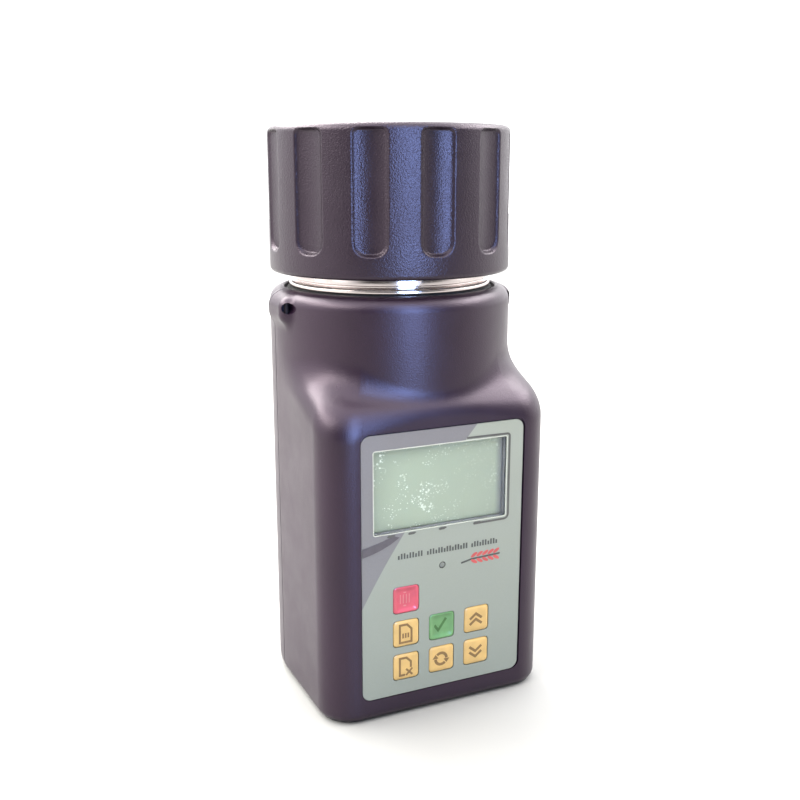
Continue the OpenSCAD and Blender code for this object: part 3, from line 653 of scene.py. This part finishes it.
def whole_case():
    """Both shells as one hollow body, before they part at the seam."""
    phi = case_columns()
    heights = np.concatenate([[127.0, 128.5], np.arange(129.5, RIM_Z - 1.6, 0.35)])
    rows = [(neck_radius(phi, z), z) for z in heights]
    for t in np.linspace(0.25, 1, 9):
        z = RIM_Z - 1.6 * (1 - t) ** 1.5
        rows.append((neck_radius(phi, z) if t < 1 else NECK_R - RIM_ROUND + 0.4, z))
    seal_z, seal_r = box_mm("cup_seal")[0][2], 36.5
    ledge_z, bore = seal_z - 3, 31.6
    rows += [(seal_r, RIM_Z - 0.4), (seal_r, seal_z), (bore, seal_z), (bore, ledge_z)]
    rows.append((NECK_R - WALL, ledge_z))
    neck = [level(phi, r, z) for r, z in rows]
    return loft("whole_case", case_rows(phi, 0.0) + neck + case_rows(phi, WALL)[::-1])


def build_case():
    whole = whole_case()
    whole.name = "case_rear"
    front = in_scene("case_front", whole.data.copy())
    cut(front, half_space(True), "INTERSECT")
    cut(whole, half_space(False), "INTERSECT")
    return front, whole


def through_front(outline, x, z, y1=INSIDE_Y):
    """Tool that cuts outline into the front, as far as y1."""
    return prism_y("hole", outline, FRONT_Y - 5, y1, x, z)


def control_holes(key_gap, key_corner, light_r):
    """Tools for the openings of the keys and the status light."""
    holes = []
    for key in KEYS:
        spot = centre_mm(key)
        holes.append(through_front(rect(KEY_W + key_gap, KEY_W + key_gap, key_corner), spot[0], spot[2]))
    light = centre_mm("status_light")
    holes.append(through_front(circle(light_r, 48), light[0], light[2]))
    return holes


def finish_front(front):
    middle = centre_mm("front_label")
    size = LABEL_HIGH - LABEL_LOW
    cut(front, through_front(rect(size[0] + 0.85, size[2] + 0.8, 3.4, 12), middle[0] + 0.2, middle[2] + 0.15,
                             LABEL_HIGH[1]))
    low, high = box_mm("display_window")
    x, _, z = (low + high) / 2
    width, _, height = high - low
    cut(front, through_front(rect(width + 0.2, height + 0.2, 0.5), x, z, high[1]))
    holes = [through_front(rect(width - 3.2, height - 3.2, 0.5), x, z)] + control_holes(0.4, 1.2, 1.25)
    for side in (-1, 1):
        holes.append(rod_y("hole", 1.85, -30, -5, side * PIN_X, LUG_Z, 64))
    cut(front, join("holes", holes))
    dress(front, "case", "shell_plastic", ["front_shell"])


def finish_rear(rear):
    block = [(NECK_R - 6, 8), (NECK_R + 4, 8), (NECK_R + 4, 64), (NECK_R - 6, 64)]
    cut(rear, swept("opening", block, math.radians(DOOR_ANGLE), 48))
    holes = []
    for side in (-1, 1):
        for z in (14, 112):
            holes.append(rod_y("hole", 3.1, 10, 60, side * 35.4, z))
    cut(rear, join("holes", holes))
    dress(rear, "case", "shell_plastic", ["rear_shell"])


# ------------------------------------------------------------ cap

FLUTES = 12
FLUTE_START = -math.pi / 2 - math.radians(1.9)
FLUTE_HALF, FLUTE_DEPTH, FLUTE_R = 6.1, 1.9, 15.0
FLUTE_TOP_R, FLUTE_FOOT_R, FLUTE_WALL = 2.6, 5.0, 1.3


def cap_rows():
    """Loops of the cap, up the fluted outside, over the top and down the bore."""
    pitch = TURN / FLUTES
    edge = FLUTE_HALF / CAP_R
    wall_in, wall_out = edge - 0.024, edge + 0.008
    local = np.concatenate([np.linspace(0, wall_in, 13)[:-1], np.linspace(wall_in, wall_out, 11),
                            np.linspace(wall_out, pitch / 2, 7)[1:]])
    local = np.concatenate([-local[::-1], local[1:]])[:-1]
    phi = np.concatenate([i * pitch + FLUTE_START + local for i in range(FLUTES)])
    across = CAP_R * ((phi - FLUTE_START + pitch / 2) % pitch - pitch / 2)
    low_z, high_z = CAP_LOW[2] + 7, CAP_HIGH[2] - 1.3
    round_low, round_high = 1.6, 2.6

    def shape(r, z):
        """Surface radius at height z: r with the flutes pressed into it."""
        corner = FLUTE_TOP_R if z > (low_z + high_z) / 2 else FLUTE_FOOT_R
        qx = np.abs(across) - FLUTE_HALF + corner
        qz = max(low_z - z, z - high_z) + corner
        outside = np.hypot(np.maximum(qx, 0), max(qz, 0.0)) + np.minimum(np.maximum(qx, qz), 0) - corner
        ramp = np.clip(-outside / FLUTE_WALL, 0, 1)
        ramp = ramp * ramp * (3 - 2 * ramp)
        hollow = FLUTE_DEPTH - across ** 2 * (0.5 / FLUTE_R + 0.5 / CAP_R)
        return np.minimum(r, CAP_R - ramp * hollow)

    rows = [(CAP_R - inset, CAP_LOW[2] + up) for inset, up in quarter(round_low, 9)]
    heights = [np.arange(low_z - 0.6, low_z + 6, 0.25), np.linspace(low_z + 6.5, high_z - 4.2, 14),
               np.arange(high_z - 4, CAP_HIGH[2] - round_high, 0.22)]
    rows += [(shape(CAP_R, z), z) for z in np.concatenate(heights)]
    for t in np.linspace(0.001, math.pi / 2, 15):
        z = CAP_HIGH[2] - round_high * (1 - math.sin(t))
        rows.append((shape(CAP_R - round_high * (1 - math.cos(t)), z), z))
    top = CAP_HIGH[2]
    rows += [(37.4, top), (36.9, top - 0.5), (36.3, top - 0.6), (14, top - 0.6), (13.4, top - 0.35),
             (8.4, top - 0.35), (8.05, top - 0.7), (8.05, top - 3), (35.0, top - 3), (36.3, top - 3.5),
             (36.5, top - 5), (36.5, CAP_LOW[2] + 0.8), (37.2, CAP_LOW[2])]
    return [level(phi, r, z) for r, z in rows]


def build_cap():
    dress(loft("cap_body", cap_rows(), closed=True), "cap", "cap_plastic", ["cap_shell"], 42)


# ------------------------------------------------------------ cup, collar and press

THREAD_STARTS, THREAD_LEAD, THREAD_RIDGE = 4, 12.0, 0.8


def thread_wave(phi, z, base_z):
    """Thread height from -1 to 1, flattened at crest and root."""
    wave = np.cos(THREAD_STARTS * (phi - TURN * (z - base_z) / THREAD_LEAD))
    return np.tanh(1.6 * wave) / math.tanh(1.6)


def collar():
    low, high = box_mm("threaded_collar")
    flange = high[0]
    band = flange - 1.2
    thread_z = low[2] + 6.6
    phi = np.arange(288) * TURN / 288
    lip = low[2] + 1.9
    rows = rounded([(31.3, low[2], 0), (flange, low[2], 0.5), (flange, lip, 0.85), (band - 1.7, lip, 0.15),
                    (band - 1.7, lip + 0.6, 0.1), (band, lip + 0.75, 0.3), (band, thread_z, 0.0)])[:-1]
    for z in np.arange(thread_z, high[2] - 0.05, 0.24):
        fade = min(1.0, (z - thread_z) / 1.2, (high[2] - z) / 1.2)
        ridge = THREAD_RIDGE * fade * (1 + thread_wave(phi, z, thread_z)) / 2
        rows.append((band - THREAD_RIDGE + 0.24 * (1 - fade) + ridge, z))
    rows += [(band - 0.9, high[2]), (31.3, high[2])]
    ring = loft("collar_ring", [level(phi, r, z) for r, z in rows], closed=True)
    dress(ring, "case", "collar_chrome", ["threaded_collar"], 30)


def cup_parts():
    low, high = box_mm("sample_cup")
    r_out = high[0]
    r_in = r_out - 1.2
    floor = low[2]
    profile = [(7.9, floor, 0.2), (r_out, floor, 3), (r_out, high[2], 0.55), (r_in, high[2], 0.55),
               (r_in, floor + 1.2, 2), (7.9, floor + 1.2, 0.2)]
    dress(lathe("cup_body", profile, 192, 8), "case", "cup_steel", ["sample_cup"])
    low, high = box_mm("cup_seal")
    r = high[0]
    profile = [(31.6, low[2], 0.2), (r + 0.6, low[2], 0.2), (r + 0.6, high[2] - 0.3, 0.5),
               (r - 0.3, high[2], 0.1), (31.6, high[2], 0.2)]
    dress(lathe("seal_ring", profile, 192), "case", "seal_rubber", ["cup_seal"])
    low, high = box_mm("centre_electrode")
    profile = [(0, low[2], 0), (3, low[2], 0.5), (3, 74, 0), (5, 74, 0.3), (5, high[2], 3), (0, high[2], 0)]
    dress(lathe("electrode_post", profile, 96, 10), "case", "cup_steel", ["centre_electrode"])
    low, high = box_mm("electrode_insulator")
    floor_z = low[2] + 2
    profile = [(3.05, low[2], 0.2), (11, low[2], 0.5), (11, floor_z, 0.1), (7.85, floor_z, 0.1),
               (7.85, floor_z + 1.2, 0.1), (11, floor_z + 1.2, 0.1), (11, high[2], 0.7), (3.05, high[2], 0.2)]
    dress(lathe("insulator_bush", profile, 96), "case", "insulator_plastic", ["electrode_insulator"])


def press_parts():
    low, high = box_mm("pressure_plate")
    r = high[0]
    z = low[2]
    profile = [(0, z, 0), (r - 3.2, z, 1.2), (r - 2.8, z + 0.5, 0.6), (r, z + 0.5, 1), (r, z + 3, 0.5),
               (r - 2, z + 3, 0.4), (r - 2.6, z + 2.2, 0.4), (9, z + 2.2, 0.5), (7, z + 3, 0.6),
               (7, high[2], 0.8), (0, high[2], 0)]
    dress(lathe("press_plate", profile, 192), "press", "cup_steel", ["pressure_plate"])
    low, high = box_mm("indicator_pin")
    r, _, top = high
    profile = [(0, low[2], 0), (r, low[2], 0.3), (r, top - 2.2, 0.1), (r - 0.25, top - 2.0, 0.1),
               (r - 0.25, top - 1.5, 0.1), (r, top - 1.3, 0.1), (r, top, 1.2), (0, top, 0)]
    dress(lathe("indicator_top", profile, 72), "press", "indicator_red", ["indicator_pin"])
    low, high = box_mm("pressure_spring")
    spring = helix("press_spring", (low[2] + 1, high[2] - 1), high[0] - 1, 1.0, 5)
    dress(spring, "cap_carrier", "fastener_steel", ["pressure_spring"])


def helix(name, span, radius, wire, turns, sides=12, steps=40):
    """Round wire wound from span[0] up to span[1]."""
    up = np.array([0, 0, 1.0])
    loops = []
    for t in np.linspace(0, 1, turns * steps + 1):
        out = np.array([math.cos(TURN * turns * t), math.sin(TURN * turns * t), 0])
        centre = radius * out + (span[0] + (span[1] - span[0]) * t) * up
        loops.append(np.array([centre + a * out + b * up for a, b in circle(wire, sides)]))
    return loft(name, loops)


# ------------------------------------------------------------ front label, display and keys

def front_label():
    size = LABEL_HIGH - LABEL_LOW
    middle = centre_mm("front_label")
    nx, nz = 58, 90
    xs = np.linspace(LABEL_LOW[0] - 1, LABEL_HIGH[0] + 1, nx + 1)
    zs = np.linspace(LABEL_LOW[2] - 1, LABEL_HIGH[2] + 1, nz + 1)
    gx, gz = np.meshgrid(xs, zs)
    ripple = 0.03 * np.sin(gx * 0.21 + 0.7) * np.sin(gz * 0.13) + 0.025 * np.sin(gz * 0.31 + gx * 0.12)
    ripple += 0.05 * np.exp(-((gx - LABEL_LOW[0]) / 2.2) ** 2) * np.sin(gz * 0.23 + 1.0)
    front = np.column_stack([gx.ravel(), (LABEL_LOW[1] + 0.02 + ripple).ravel(), gz.ravel()])
    back = np.column_stack([gx.ravel(), np.full(gx.size, LABEL_HIGH[1] - 0.01), gz.ravel()])
    count = gx.size
    faces = []

    def at(i, j):
        return j * (nx + 1) + i

    for j in range(nz):
        for i in range(nx):
            quad = (at(i, j), at(i + 1, j), at(i + 1, j + 1), at(i, j + 1))
            faces.append(quad)
            faces.append(tuple(count + k for k in reversed(quad)))
    border = [at(i, 0) for i in range(nx)] + [at(nx, j) for j in range(nz)]
    border += [at(i, nz) for i in range(nx, 0, -1)] + [at(0, j) for j in range(nz, 0, -1)]
    for a, b in zip(border, border[1:] + border[:1]):
        faces.append((b, a, count + a, count + b))
    label = new_object("label_sheet", np.vstack([front, back]), faces)
    outline = rect(size[0], size[2], 3, 14)
    cut(label, prism_y("outline", outline, FRONT_Y - 3, FRONT_Y + 3, middle[0], middle[2]), "INTERSECT")
    view = through_front(rect(VIEW_W, VIEW_H, 0.6), VIEW_X, VIEW_Z)
    cut(label, join("holes", [view] + control_holes(0.16, 1.3, 1.2)))
    dress(label, "case", "label_film", ["front_label"], 25)


PILLOW = ((1.9, 0.0), (1.0, 0.03), (0.55, 0.12), (0.2, 0.32), (0.05, 0.6), (0.0, 1.0))
DISHED = ((2.5, 0.55), (1.7, 0.5), (1.2, 0.36), (0.85, 0.1), (0.6, 0.01), (0.3, 0.02), (0.1, 0.15),
          (0.0, 0.6))


def key_piece(name, material, sections):
    """Key cap whose face follows (inset, depth) sections, with a flange behind the wall."""
    low, high = box_mm(name)
    spot = (low + high) / 2
    outlines = []
    for inset, depth in sections:
        side = KEY_W - 2 * inset
        outlines.append((rect(side, side, max(0.35, 1.3 - inset * 0.3)), low[1] + depth))
    shaft, flange, stem = rect(KEY_W, KEY_W, 1.3), rect(KEY_W + 1.5, KEY_W + 1.5, 1.3), rect(3.4, 3.4, 0.8)
    outlines += [(shaft, -41.3), (flange, -41.3), (flange, -40.5), (stem, -40.5), (stem, high[1])]
    loops = [upright(outline, y, spot[0], spot[2]) for outline, y in outlines]
    cap = loft(name.replace("_key", "_cap"), loops)
    dress(cap, name.replace("_key", "_button"), material, [name], 30)
    return spot, low[1] + sections[0][1]


def stroke(points, width, closed=False):
    """Outline of a line of the given width through 2-D points, with mitred corners."""
    path = np.asarray(points, float)
    count = len(path)
    left, right = [], []
    for i in range(count):
        before = path[i - 1] if closed or i > 0 else path[i]
        after = path[(i + 1) % count] if closed or i < count - 1 else path[i]
        d1 = path[i] - before
        d2 = after - path[i]
        d1 = d2 if np.linalg.norm(d1) < 1e-9 else d1
        d2 = d1 if np.linalg.norm(d2) < 1e-9 else d2
        d1, d2 = d1 / np.linalg.norm(d1), d2 / np.linalg.norm(d2)
        tangent = (d1 + d2) / np.linalg.norm(d1 + d2)
        normal = np.array([-tangent[1], tangent[0]])
        reach = width / 2 / max(0.35, float(normal @ np.array([-d1[1], d1[0]])))
        left.append(path[i] + normal * reach)
        right.append(path[i] - normal * reach)
    return left, right


INK_PROUD, INK_DEPTH = 0.025, 0.12


def print_on(body, name, parts, ink):
    """Joins ink ribbons and shapes into one piece on a body: real printing, or painted shade laid on like
    print.
    """
    place(join(name, parts), body, MATERIALS[ink], angle=30)


def ink_stroke(points, width, x, z, y, closed=False):
    """A printed line as a thin raised ribbon on a face at y."""
    left, right = stroke(points, width, closed)
    front, back = y - INK_PROUD, y + INK_DEPTH
    loops = []
    for a, b in zip(left, right):
        loops.append(np.array([(a[0] + x, front, a[1] + z), (b[0] + x, front, b[1] + z),
                               (b[0] + x, back, b[1] + z), (a[0] + x, back, a[1] + z)]))
    return loft("ink", loops, closed)


def ink_shape(points, x, z, y):
    return prism_y("ink", points, y - INK_PROUD, y + INK_DEPTH, x, z)


def arc(radius, start, end, count=14):
    return [(radius * math.cos(t), radius * math.sin(t)) for t in np.radians(np.linspace(start, end, count))]


def symbol(name, body, strokes, shapes, ink, spot, top):
    """Printed sign of strokes (points, width, closed) and filled shapes on a key's face."""
    spot = spot + ICON_SHIFT
    parts = [ink_stroke(points, width, spot[0], spot[2], top, closed) for points, width, closed in strokes]
    parts += [ink_shape(points, spot[0], spot[2], top) for points in shapes]
    print_on(body, name, parts, ink)


def key(name, strokes, shapes=(), material="key_yellow", sections=PILLOW, ink="ink_brown"):
    """Key cap with its sign."""
    spot, top = key_piece(name, material, sections)
    symbol(name.replace("_key", "_mark"), name.replace("_key", "_button"), strokes, shapes, ink, spot, top)
    return spot, top


PAGE = [(-2.1, -3.1), (2.1, -3.1), (2.1, 1.4), (0.5, 3.1), (-2.1, 3.1)]
OPEN_PAGE = [(-0.2, -3.0), (-2.1, -3.0), (-2.1, 3.1), (0.3, 3.1), (1.9, 1.5), (1.9, -0.6)]
TICK = [(-2.2, 0.3), (-0.8, -1.7), (2.1, 2.3)]
CHEVRON = [(-2.3, -0.9), (0, 0.9), (2.3, -0.9)]
ARROW_HEAD = np.array([(3.15, -0.2), (0.95, -0.2), (2.05, -1.75)])
ICON_SHIFT = np.array([-0.25, 0.0, 0.0])


def keypad():
    bars = [([(dx, -1.5), (dx, 1.7)], 0.34, False) for dx in (-1.6, -0.55, 0.55, 1.6)]
    bars += [([(-0.5, dz), (0.5, dz)], 0.5, False) for dz in (-2.3, 2.4)]
    key("power_key", bars, (), "key_red", DISHED, "ink_rose")
    key("confirm_key", [(TICK, 0.9, False)], (), "key_green", DISHED, "ink_green")
    for name, flip in (("up_key", 1), ("down_key", -1)):
        chevrons = [[(x, flip * (dz + rise)) for x, rise in CHEVRON] for dz in (-0.95, 1.05)]
        key(name, [(chevron, 0.92, False) for chevron in chevrons])
    arrows = [(arc(2.05, start, start + 135), 1.0, False) for start in (0, 180)]
    key("cycle_key", arrows, [ARROW_HEAD, -ARROW_HEAD])
    lines = [([(dx, -1.6), (dx, 0.1)], 0.62, False) for dx in (-0.95, 0, 0.95)]
    key("page_key", [(PAGE, 0.75, True)] + lines)
    middle, arm = np.array([1.3, -2.1]), 1.15
    spot, top = key("delete_key", [(OPEN_PAGE, 0.75, False), ([middle - arm, middle + arm], 0.7, False)])
    second_arm = [([middle + [-arm, arm], middle + [arm, -arm]], 0.7, False)]
    symbol("delete_mark_2", "delete_button", second_arm, (), "ink_brown", spot, top - 0.01)


def stepped(name, sections, corner, steps=6, closed=False):
    """Tube through rounded rectangles given as (width, height, x, z, y)."""
    return loft(name, [upright(rect(w, h, corner, steps), y, x, z) for w, h, x, z, y in sections], closed)


def display():
    """Window with its flange, the frame behind it and the display panel in the frame."""
    low, high = box_mm("display_window")
    face = LABEL_LOW[1] + 0.1
    lens = (VIEW_W - 0.2, VIEW_H - 0.2, VIEW_X, VIEW_Z)
    flange = (high[0] - low[0] - 0.2, high[2] - low[2] - 0.2, (low[0] + high[0]) / 2, (low[2] + high[2]) / 2)
    sections = [(VIEW_W - 0.7, VIEW_H - 0.7, VIEW_X, VIEW_Z, face), (*lens, face + 0.2),
                (*lens, low[1] + 0.05), (*flange, low[1] + 0.05), (*flange, high[1] - 0.05)]
    dress(stepped("window_lens", sections, 0.6, 8), "case", "window_clear", ["display_window"], 25)
    glass_low, glass_high = box_mm("lcd_glass")
    lip, front_y = (48.4, 28.2, VIEW_X, VIEW_Z), high[1] + 0.02
    outer, inner = (52, 32.6, -0.6, VIEW_Z - 0.45), (45.6, 26.2, -0.6, VIEW_Z - 0.45)
    throat = (VIEW_W - 1, VIEW_H - 0.8, VIEW_X, VIEW_Z - 0.2)
    sections = [(VIEW_W, VIEW_H, VIEW_X, VIEW_Z, front_y), (*lip, front_y), (*lip, -41.25), (*outer, -41.25),
                (*outer, -34.2), (*inner, -34.2), (*throat, glass_low[1] - 0.02)]
    dress(stepped("display_bezel", sections, 0.6, 8, True), "case", "lcd_bezel", ["lcd_frame"], 30)
    width, _, height = glass_high - glass_low
    x, _, z = (glass_low + glass_high) / 2
    seen = (VIEW_W - 1.3, VIEW_H - 1.1, VIEW_X, VIEW_Z - 0.2)
    sections = [(*seen, high[1] + 0.3), (*seen, glass_low[1]),
                (width, height, x, z, glass_low[1]), (width, height, x, z, glass_high[1])]
    dress(stepped("display_panel", sections, 0.3), "case", "lcd_cell", ["lcd_glass"], 30)


def window_print_and_painted_shade():
    """Light and dark lines printed round the window; dark dashes and a dark sweep below it are painted shade
    of film creases.
    """
    y = PRINT_Y
    inner = np.array(rect(VIEW_W + 0.35, VIEW_H + 0.35, 0.7, 8)) + [VIEW_X, VIEW_Z]
    print_on("case", "window_line", [ink_stroke(inner, 0.3, 0, 0, y, True)], "line_light")
    right, top, bottom = VIEW_X + VIEW_W / 2 + 1.1, VIEW_Z + VIEW_H / 2 + 0.9, VIEW_Z - VIEW_H / 2 - 1.1
    outline = rounded([(8, top + 0.15, 0), (right, top, 0.9), (right, bottom, 1.6), (11, bottom - 0.1, 0)])
    dark = [ink_stroke(outline, 0.7, 0, 0, y)]
    # Dark dashes along the window's lower edge: painted shade of creases in the protective film, not print.
    crease_shade_dash = [(-1.5, -0.05), (-0.9, 0.4), (1.2, 0.45), (1.5, 0.1), (0.6, -0.35), (-1.0, -0.4)]
    for x in (-18.9, -11.5, -0.5, 12.2):
        dark.append(ink_shape(crease_shade_dash, x, bottom + 0.05, y - 0.02))
    print_on("case", "window_shade", dark, "line_dark")
    # Dark sweep below the window's left corner: painted shade of a crease in the protective film, not print.
    upper = [(-28.8, 61.0), (-26, 61.6), (-22.3, 62.6), (-17.9, 63.9)]
    lower = [(-15.9, 63.2), (-19.3, 61.2), (-22.3, 59.9), (-25.4, 58.9), (-28.8, 58.1)]
    print_on("case", "painted_shade_sweep", [ink_shape(upper + lower, 0, 0, y - 0.06)], "sweep_painted_shade")


def label_marks():
    """Generic printing in place of lettering: rows of ticks, and an ear of grain lying on its side."""
    y = PRINT_Y
    ear_x, ear_z = 14, 51.6
    ticks = []
    for start, count in ((-16.2, 9), (-5.8, 15), (10.6, 10)):
        for i in range(count):
            height = 1.9 if i % 3 else 1.3
            ticks.append(ink_shape(rect(0.55, height, 0.1, 2), start + i * 1.02, 55.6 + height / 2, y))
    print_on("case", "printed_ticks", ticks, "ink_grey")
    stem = ink_stroke([(-7.4, -1.0), (-3.6, -0.2), (7.2, 0.2)], 0.6, ear_x, ear_z, y)
    print_on("case", "printed_stem", [stem], "ink_grey")
    kernels = []
    for i in range(5):
        for side in (-1, 1):
            ring = np.arange(16) * TURN / 16
            along, out = 1.35 * np.cos(ring), 0.55 * np.sin(ring)
            lean = side * 0.55
            x = i * 2.1 - 2.6 + along * math.cos(lean) - out * math.sin(lean)
            z = side * 1.15 + along * math.sin(lean) + out * math.cos(lean)
            kernels.append(ink_shape(np.column_stack([x, z]), ear_x, ear_z + i * 0.05, y - 0.004))
    print_on("case", "printed_grain", kernels, "ink_red")


def status_light():
    low, high = box_mm("status_light")
    x, _, z = (low + high) / 2
    lens = prism_y("status_lens", circle(1.05, 40), low[1], -38.2, x, z, 0.35)
    dress(lens, "case", "light_lens", ["status_light"], 30)


def strap_pins():
    pins = [prism_z("pin", circle(0.75, 24) + [side * PIN_X, PIN_Y], (131.6, 132, 136.4, 136.8))
            for side in (-1, 1)]
    # The pins take the painted-shade finish, not steel.
    place(join("lug_pins", pins), "case", PIN_PAINTED_SHADE, ["strap_pins"])


# ------------------------------------------------------------ battery door

DOOR_ANGLE, EAR_R, EAR_X, EAR_W, HINGE_PIN_R = 46.0, 1.5, 8.0, 2.0, 0.9
HINGE = next(joint for joint in frame["record"]["behaviour"]["joints"] if joint["name"] == "door_swing")
HINGE_Y, HINGE_Z = HINGE["pos_m"][1] / MM, HINGE["pos_m"][2] / MM


def hinge_rod(name, radius, x0, x1, sides=40):
    """Bevelled rod on the hinge line from x0 to x1."""
    bevel = 0.2
    stations = ((x0, radius - bevel), (x0 + bevel, radius), (x1 - bevel, radius), (x1, radius - bevel))
    return loft(name, [np.column_stack([np.full(sides, x), circle(r, sides) + [HINGE_Y, HINGE_Z]])
                       for x, r in stations])


def box_solid(name, low, high):
    plan = [(low[0], low[1]), (high[0], low[1]), (high[0], high[1]), (low[0], high[1])]
    return prism_z(name, plan, (low[2], high[2]))


def hinge_ears():
    """Ears on the rear shell that hold the door's pins."""
    ears = []
    for side in (-1, 1):
        x0 = side * (EAR_X + EAR_W / 2) - EAR_W / 2
        ear = hinge_rod("ear", EAR_R, x0, x0 + EAR_W)
        foot = box_solid("foot", (x0, HINGE_Y - EAR_R, 6.5), (x0 + EAR_W, HINGE_Y + EAR_R, HINGE_Z))
        cut(ear, foot, "UNION")
        cut(ear, hinge_rod("bore", HINGE_PIN_R + 0.06, x0 - 1, x0 + EAR_W + 1))
        ears.append(ear)
    dress(join("hinge_ears", ears), "case", "shell_plastic")


def battery_door():
    """Curved panel with a chamfered heel, grip grooves, and pins in the shell's ears."""
    r_out, r_in = NECK_R, NECK_R - 2
    z0, z1 = 8.3, box_mm("battery_door")[1][2]
    profile = rounded([(r_in, z0, 0.2), (r_out - 1.2, z0, 0.4), (r_out, z0 + 1.2, 0.5), (r_out, z1, 0.6),
                       (r_in, z1, 0.2)], 4)
    door = swept("door_panel", profile, math.radians(DOOR_ANGLE) - 0.3 / r_in, 72)
    grooves = [swept("groove", circle(0.8, 16) + [NECK_R + 0.25, z1 - down], math.radians(30), 48)
               for down in (11.2, 8.2, 5.2)]
    cut(door, join("grooves", grooves))
    for side in (-1, 1):
        x0 = side * (EAR_X + EAR_W / 2) - EAR_W / 2
        cut(door, box_solid("notch", (x0 - 0.3, 30, 0), (x0 + EAR_W + 0.3, 50, HINGE_Z + 2)))
    for x0 in (-EAR_X - EAR_W, EAR_X - 0.8):
        cut(door, hinge_rod("pin", HINGE_PIN_R, x0, x0 + EAR_W + 0.8), "UNION")
    dress(door, "door", "shell_plastic", ["battery_door"])


# ------------------------------------------------------------ scene

def dress_cad_nodes():
    """Gives every CAD node that still shows its procedural finish."""
    slots = {row["node"]: row["material_slot"] for row in frame["record"]["subparts"]}
    for name, node in frame["nodes"].items():
        material = MATERIALS[slots[name]]
        for entry in node.material_slots:
            entry.material = material


def area(name, size, strength, colour, spot, aim, diffuse=True):
    """Area light at spot, turned to aim. Without diffuse it only shows in reflections."""
    light = bpy.data.lights.new(name, "AREA")
    light.shape = "RECTANGLE"
    light.size, light.size_y = size
    light.energy = strength
    light.color = colour
    obj = in_scene(name, light)
    obj.location = spot
    obj.rotation_euler = (Vector(aim) - Vector(spot)).to_track_quat("-Z", "Y").to_euler()
    obj.visible_camera = False
    obj.visible_diffuse = diffuse
    obj.visible_transmission = diffuse


def span_node(tree, value, limits):
    """Maps value from limits[0]..limits[1] to limits[2]..limits[3] with a smooth step."""
    node = tree.nodes.new("ShaderNodeMapRange")
    node.interpolation_type = "SMOOTHSTEP"
    for socket, number in zip(RANGE_SOCKETS, limits):
        node.inputs[socket].default_value = number
    tree.links.new(value, node.inputs["Value"])
    return node.outputs["Result"]


def studio():
    """World that is dark behind the camera and bright beyond and above, five area lights, and the floor."""
    world = bpy.data.worlds.new("studio")
    bpy.context.scene.world = world
    world.use_nodes = True
    tree = world.node_tree
    tree.nodes.clear()
    output = tree.nodes.new("ShaderNodeOutputWorld")
    background = tree.nodes.new("ShaderNodeBackground")
    tree.links.new(background.outputs[0], output.inputs[0])
    coordinates = tree.nodes.new("ShaderNodeTexCoord")
    facing = tree.nodes.new("ShaderNodeVectorMath")
    facing.operation = "DOT_PRODUCT"
    facing.inputs[1].default_value = (-0.12, -0.98, 0)
    tree.links.new(coordinates.outputs["Generated"], facing.inputs[0])
    beyond = span_node(tree, facing.outputs["Value"], (0.8, 0.05, 0.1, 2.4))
    split = tree.nodes.new("ShaderNodeSeparateXYZ")
    tree.links.new(coordinates.outputs["Generated"], split.inputs[0])
    above = span_node(tree, split.outputs["Z"], (0.25, 0.75, 0.0, 1.5))
    total = tree.nodes.new("ShaderNodeMath")
    total.operation = "ADD"
    tree.links.new(beyond, total.inputs[0])
    tree.links.new(above, total.inputs[1])
    tree.links.new(total.outputs[0], background.inputs["Strength"])
    background.inputs["Color"].default_value = (1, 1, 1, 1)
    area("front_low", (0.17, 0.27), 3.1, (0.34, 0.54, 1.0), (-0.03, -0.52, 0.19), (0, 0, 0.19), False)
    area("front_high", (0.17, 0.40), 3.2, (0.36, 0.56, 1.0), (-0.03, -0.52, 0.535), (0, 0, 0.3), False)
    area("right_soft", (0.6, 0.8), 13, (1.0, 0.96, 0.95), (0.8, -0.05, 0.7), (0.8, 0, 0))
    area("left_soft", (0.6, 0.8), 13, (1.0, 0.96, 0.88), (-0.85, 0.05, 0.7), (-0.85, 0.1, 0))
    area("back_soft", (1.2, 0.8), 36, (1.0, 0.97, 0.92), (-0.4, 0.7, 0.85), (-0.4, 0.65, 0))

    reach = 3.0 / MM
    corners = [(-reach, -reach, 0), (reach, -reach, 0), (reach, reach, 0), (-reach, reach, 0)]
    floor = new_object("floor", corners, [(0, 1, 2, 3)])
    floor.data.materials.append(floor_surface())


def camera():
    data = bpy.data.cameras.new("camera")
    data.sensor_width = 36.0
    data.lens = 44.8
    obj = in_scene("camera", data)
    low, high = CAD_BOX
    aim = Vector((0.00405, 0.0, (low.z + high.z) / 2 + 0.001))
    azimuth, elevation, distance = math.radians(-24.3), math.radians(13.3), 0.3584
    back = Vector((math.sin(azimuth) * math.cos(elevation), -math.cos(azimuth) * math.cos(elevation),
                   math.sin(elevation)))
    obj.location = aim + back * distance
    obj.rotation_euler = (-back).to_track_quat("-Z", "Y").to_euler()
    bpy.context.scene.camera = obj


camera()
studio()
bpy.context.scene.view_settings.view_transform = "Standard"
case_front, case_rear = build_case()
finish_front(case_front)
finish_rear(case_rear)
build_cap()
collar()
cup_parts()
press_parts()
front_label()
display()
window_print_and_painted_shade()
label_marks()
keypad()
status_light()
strap_pins()
hinge_ears()
battery_door()
dress_cad_nodes()
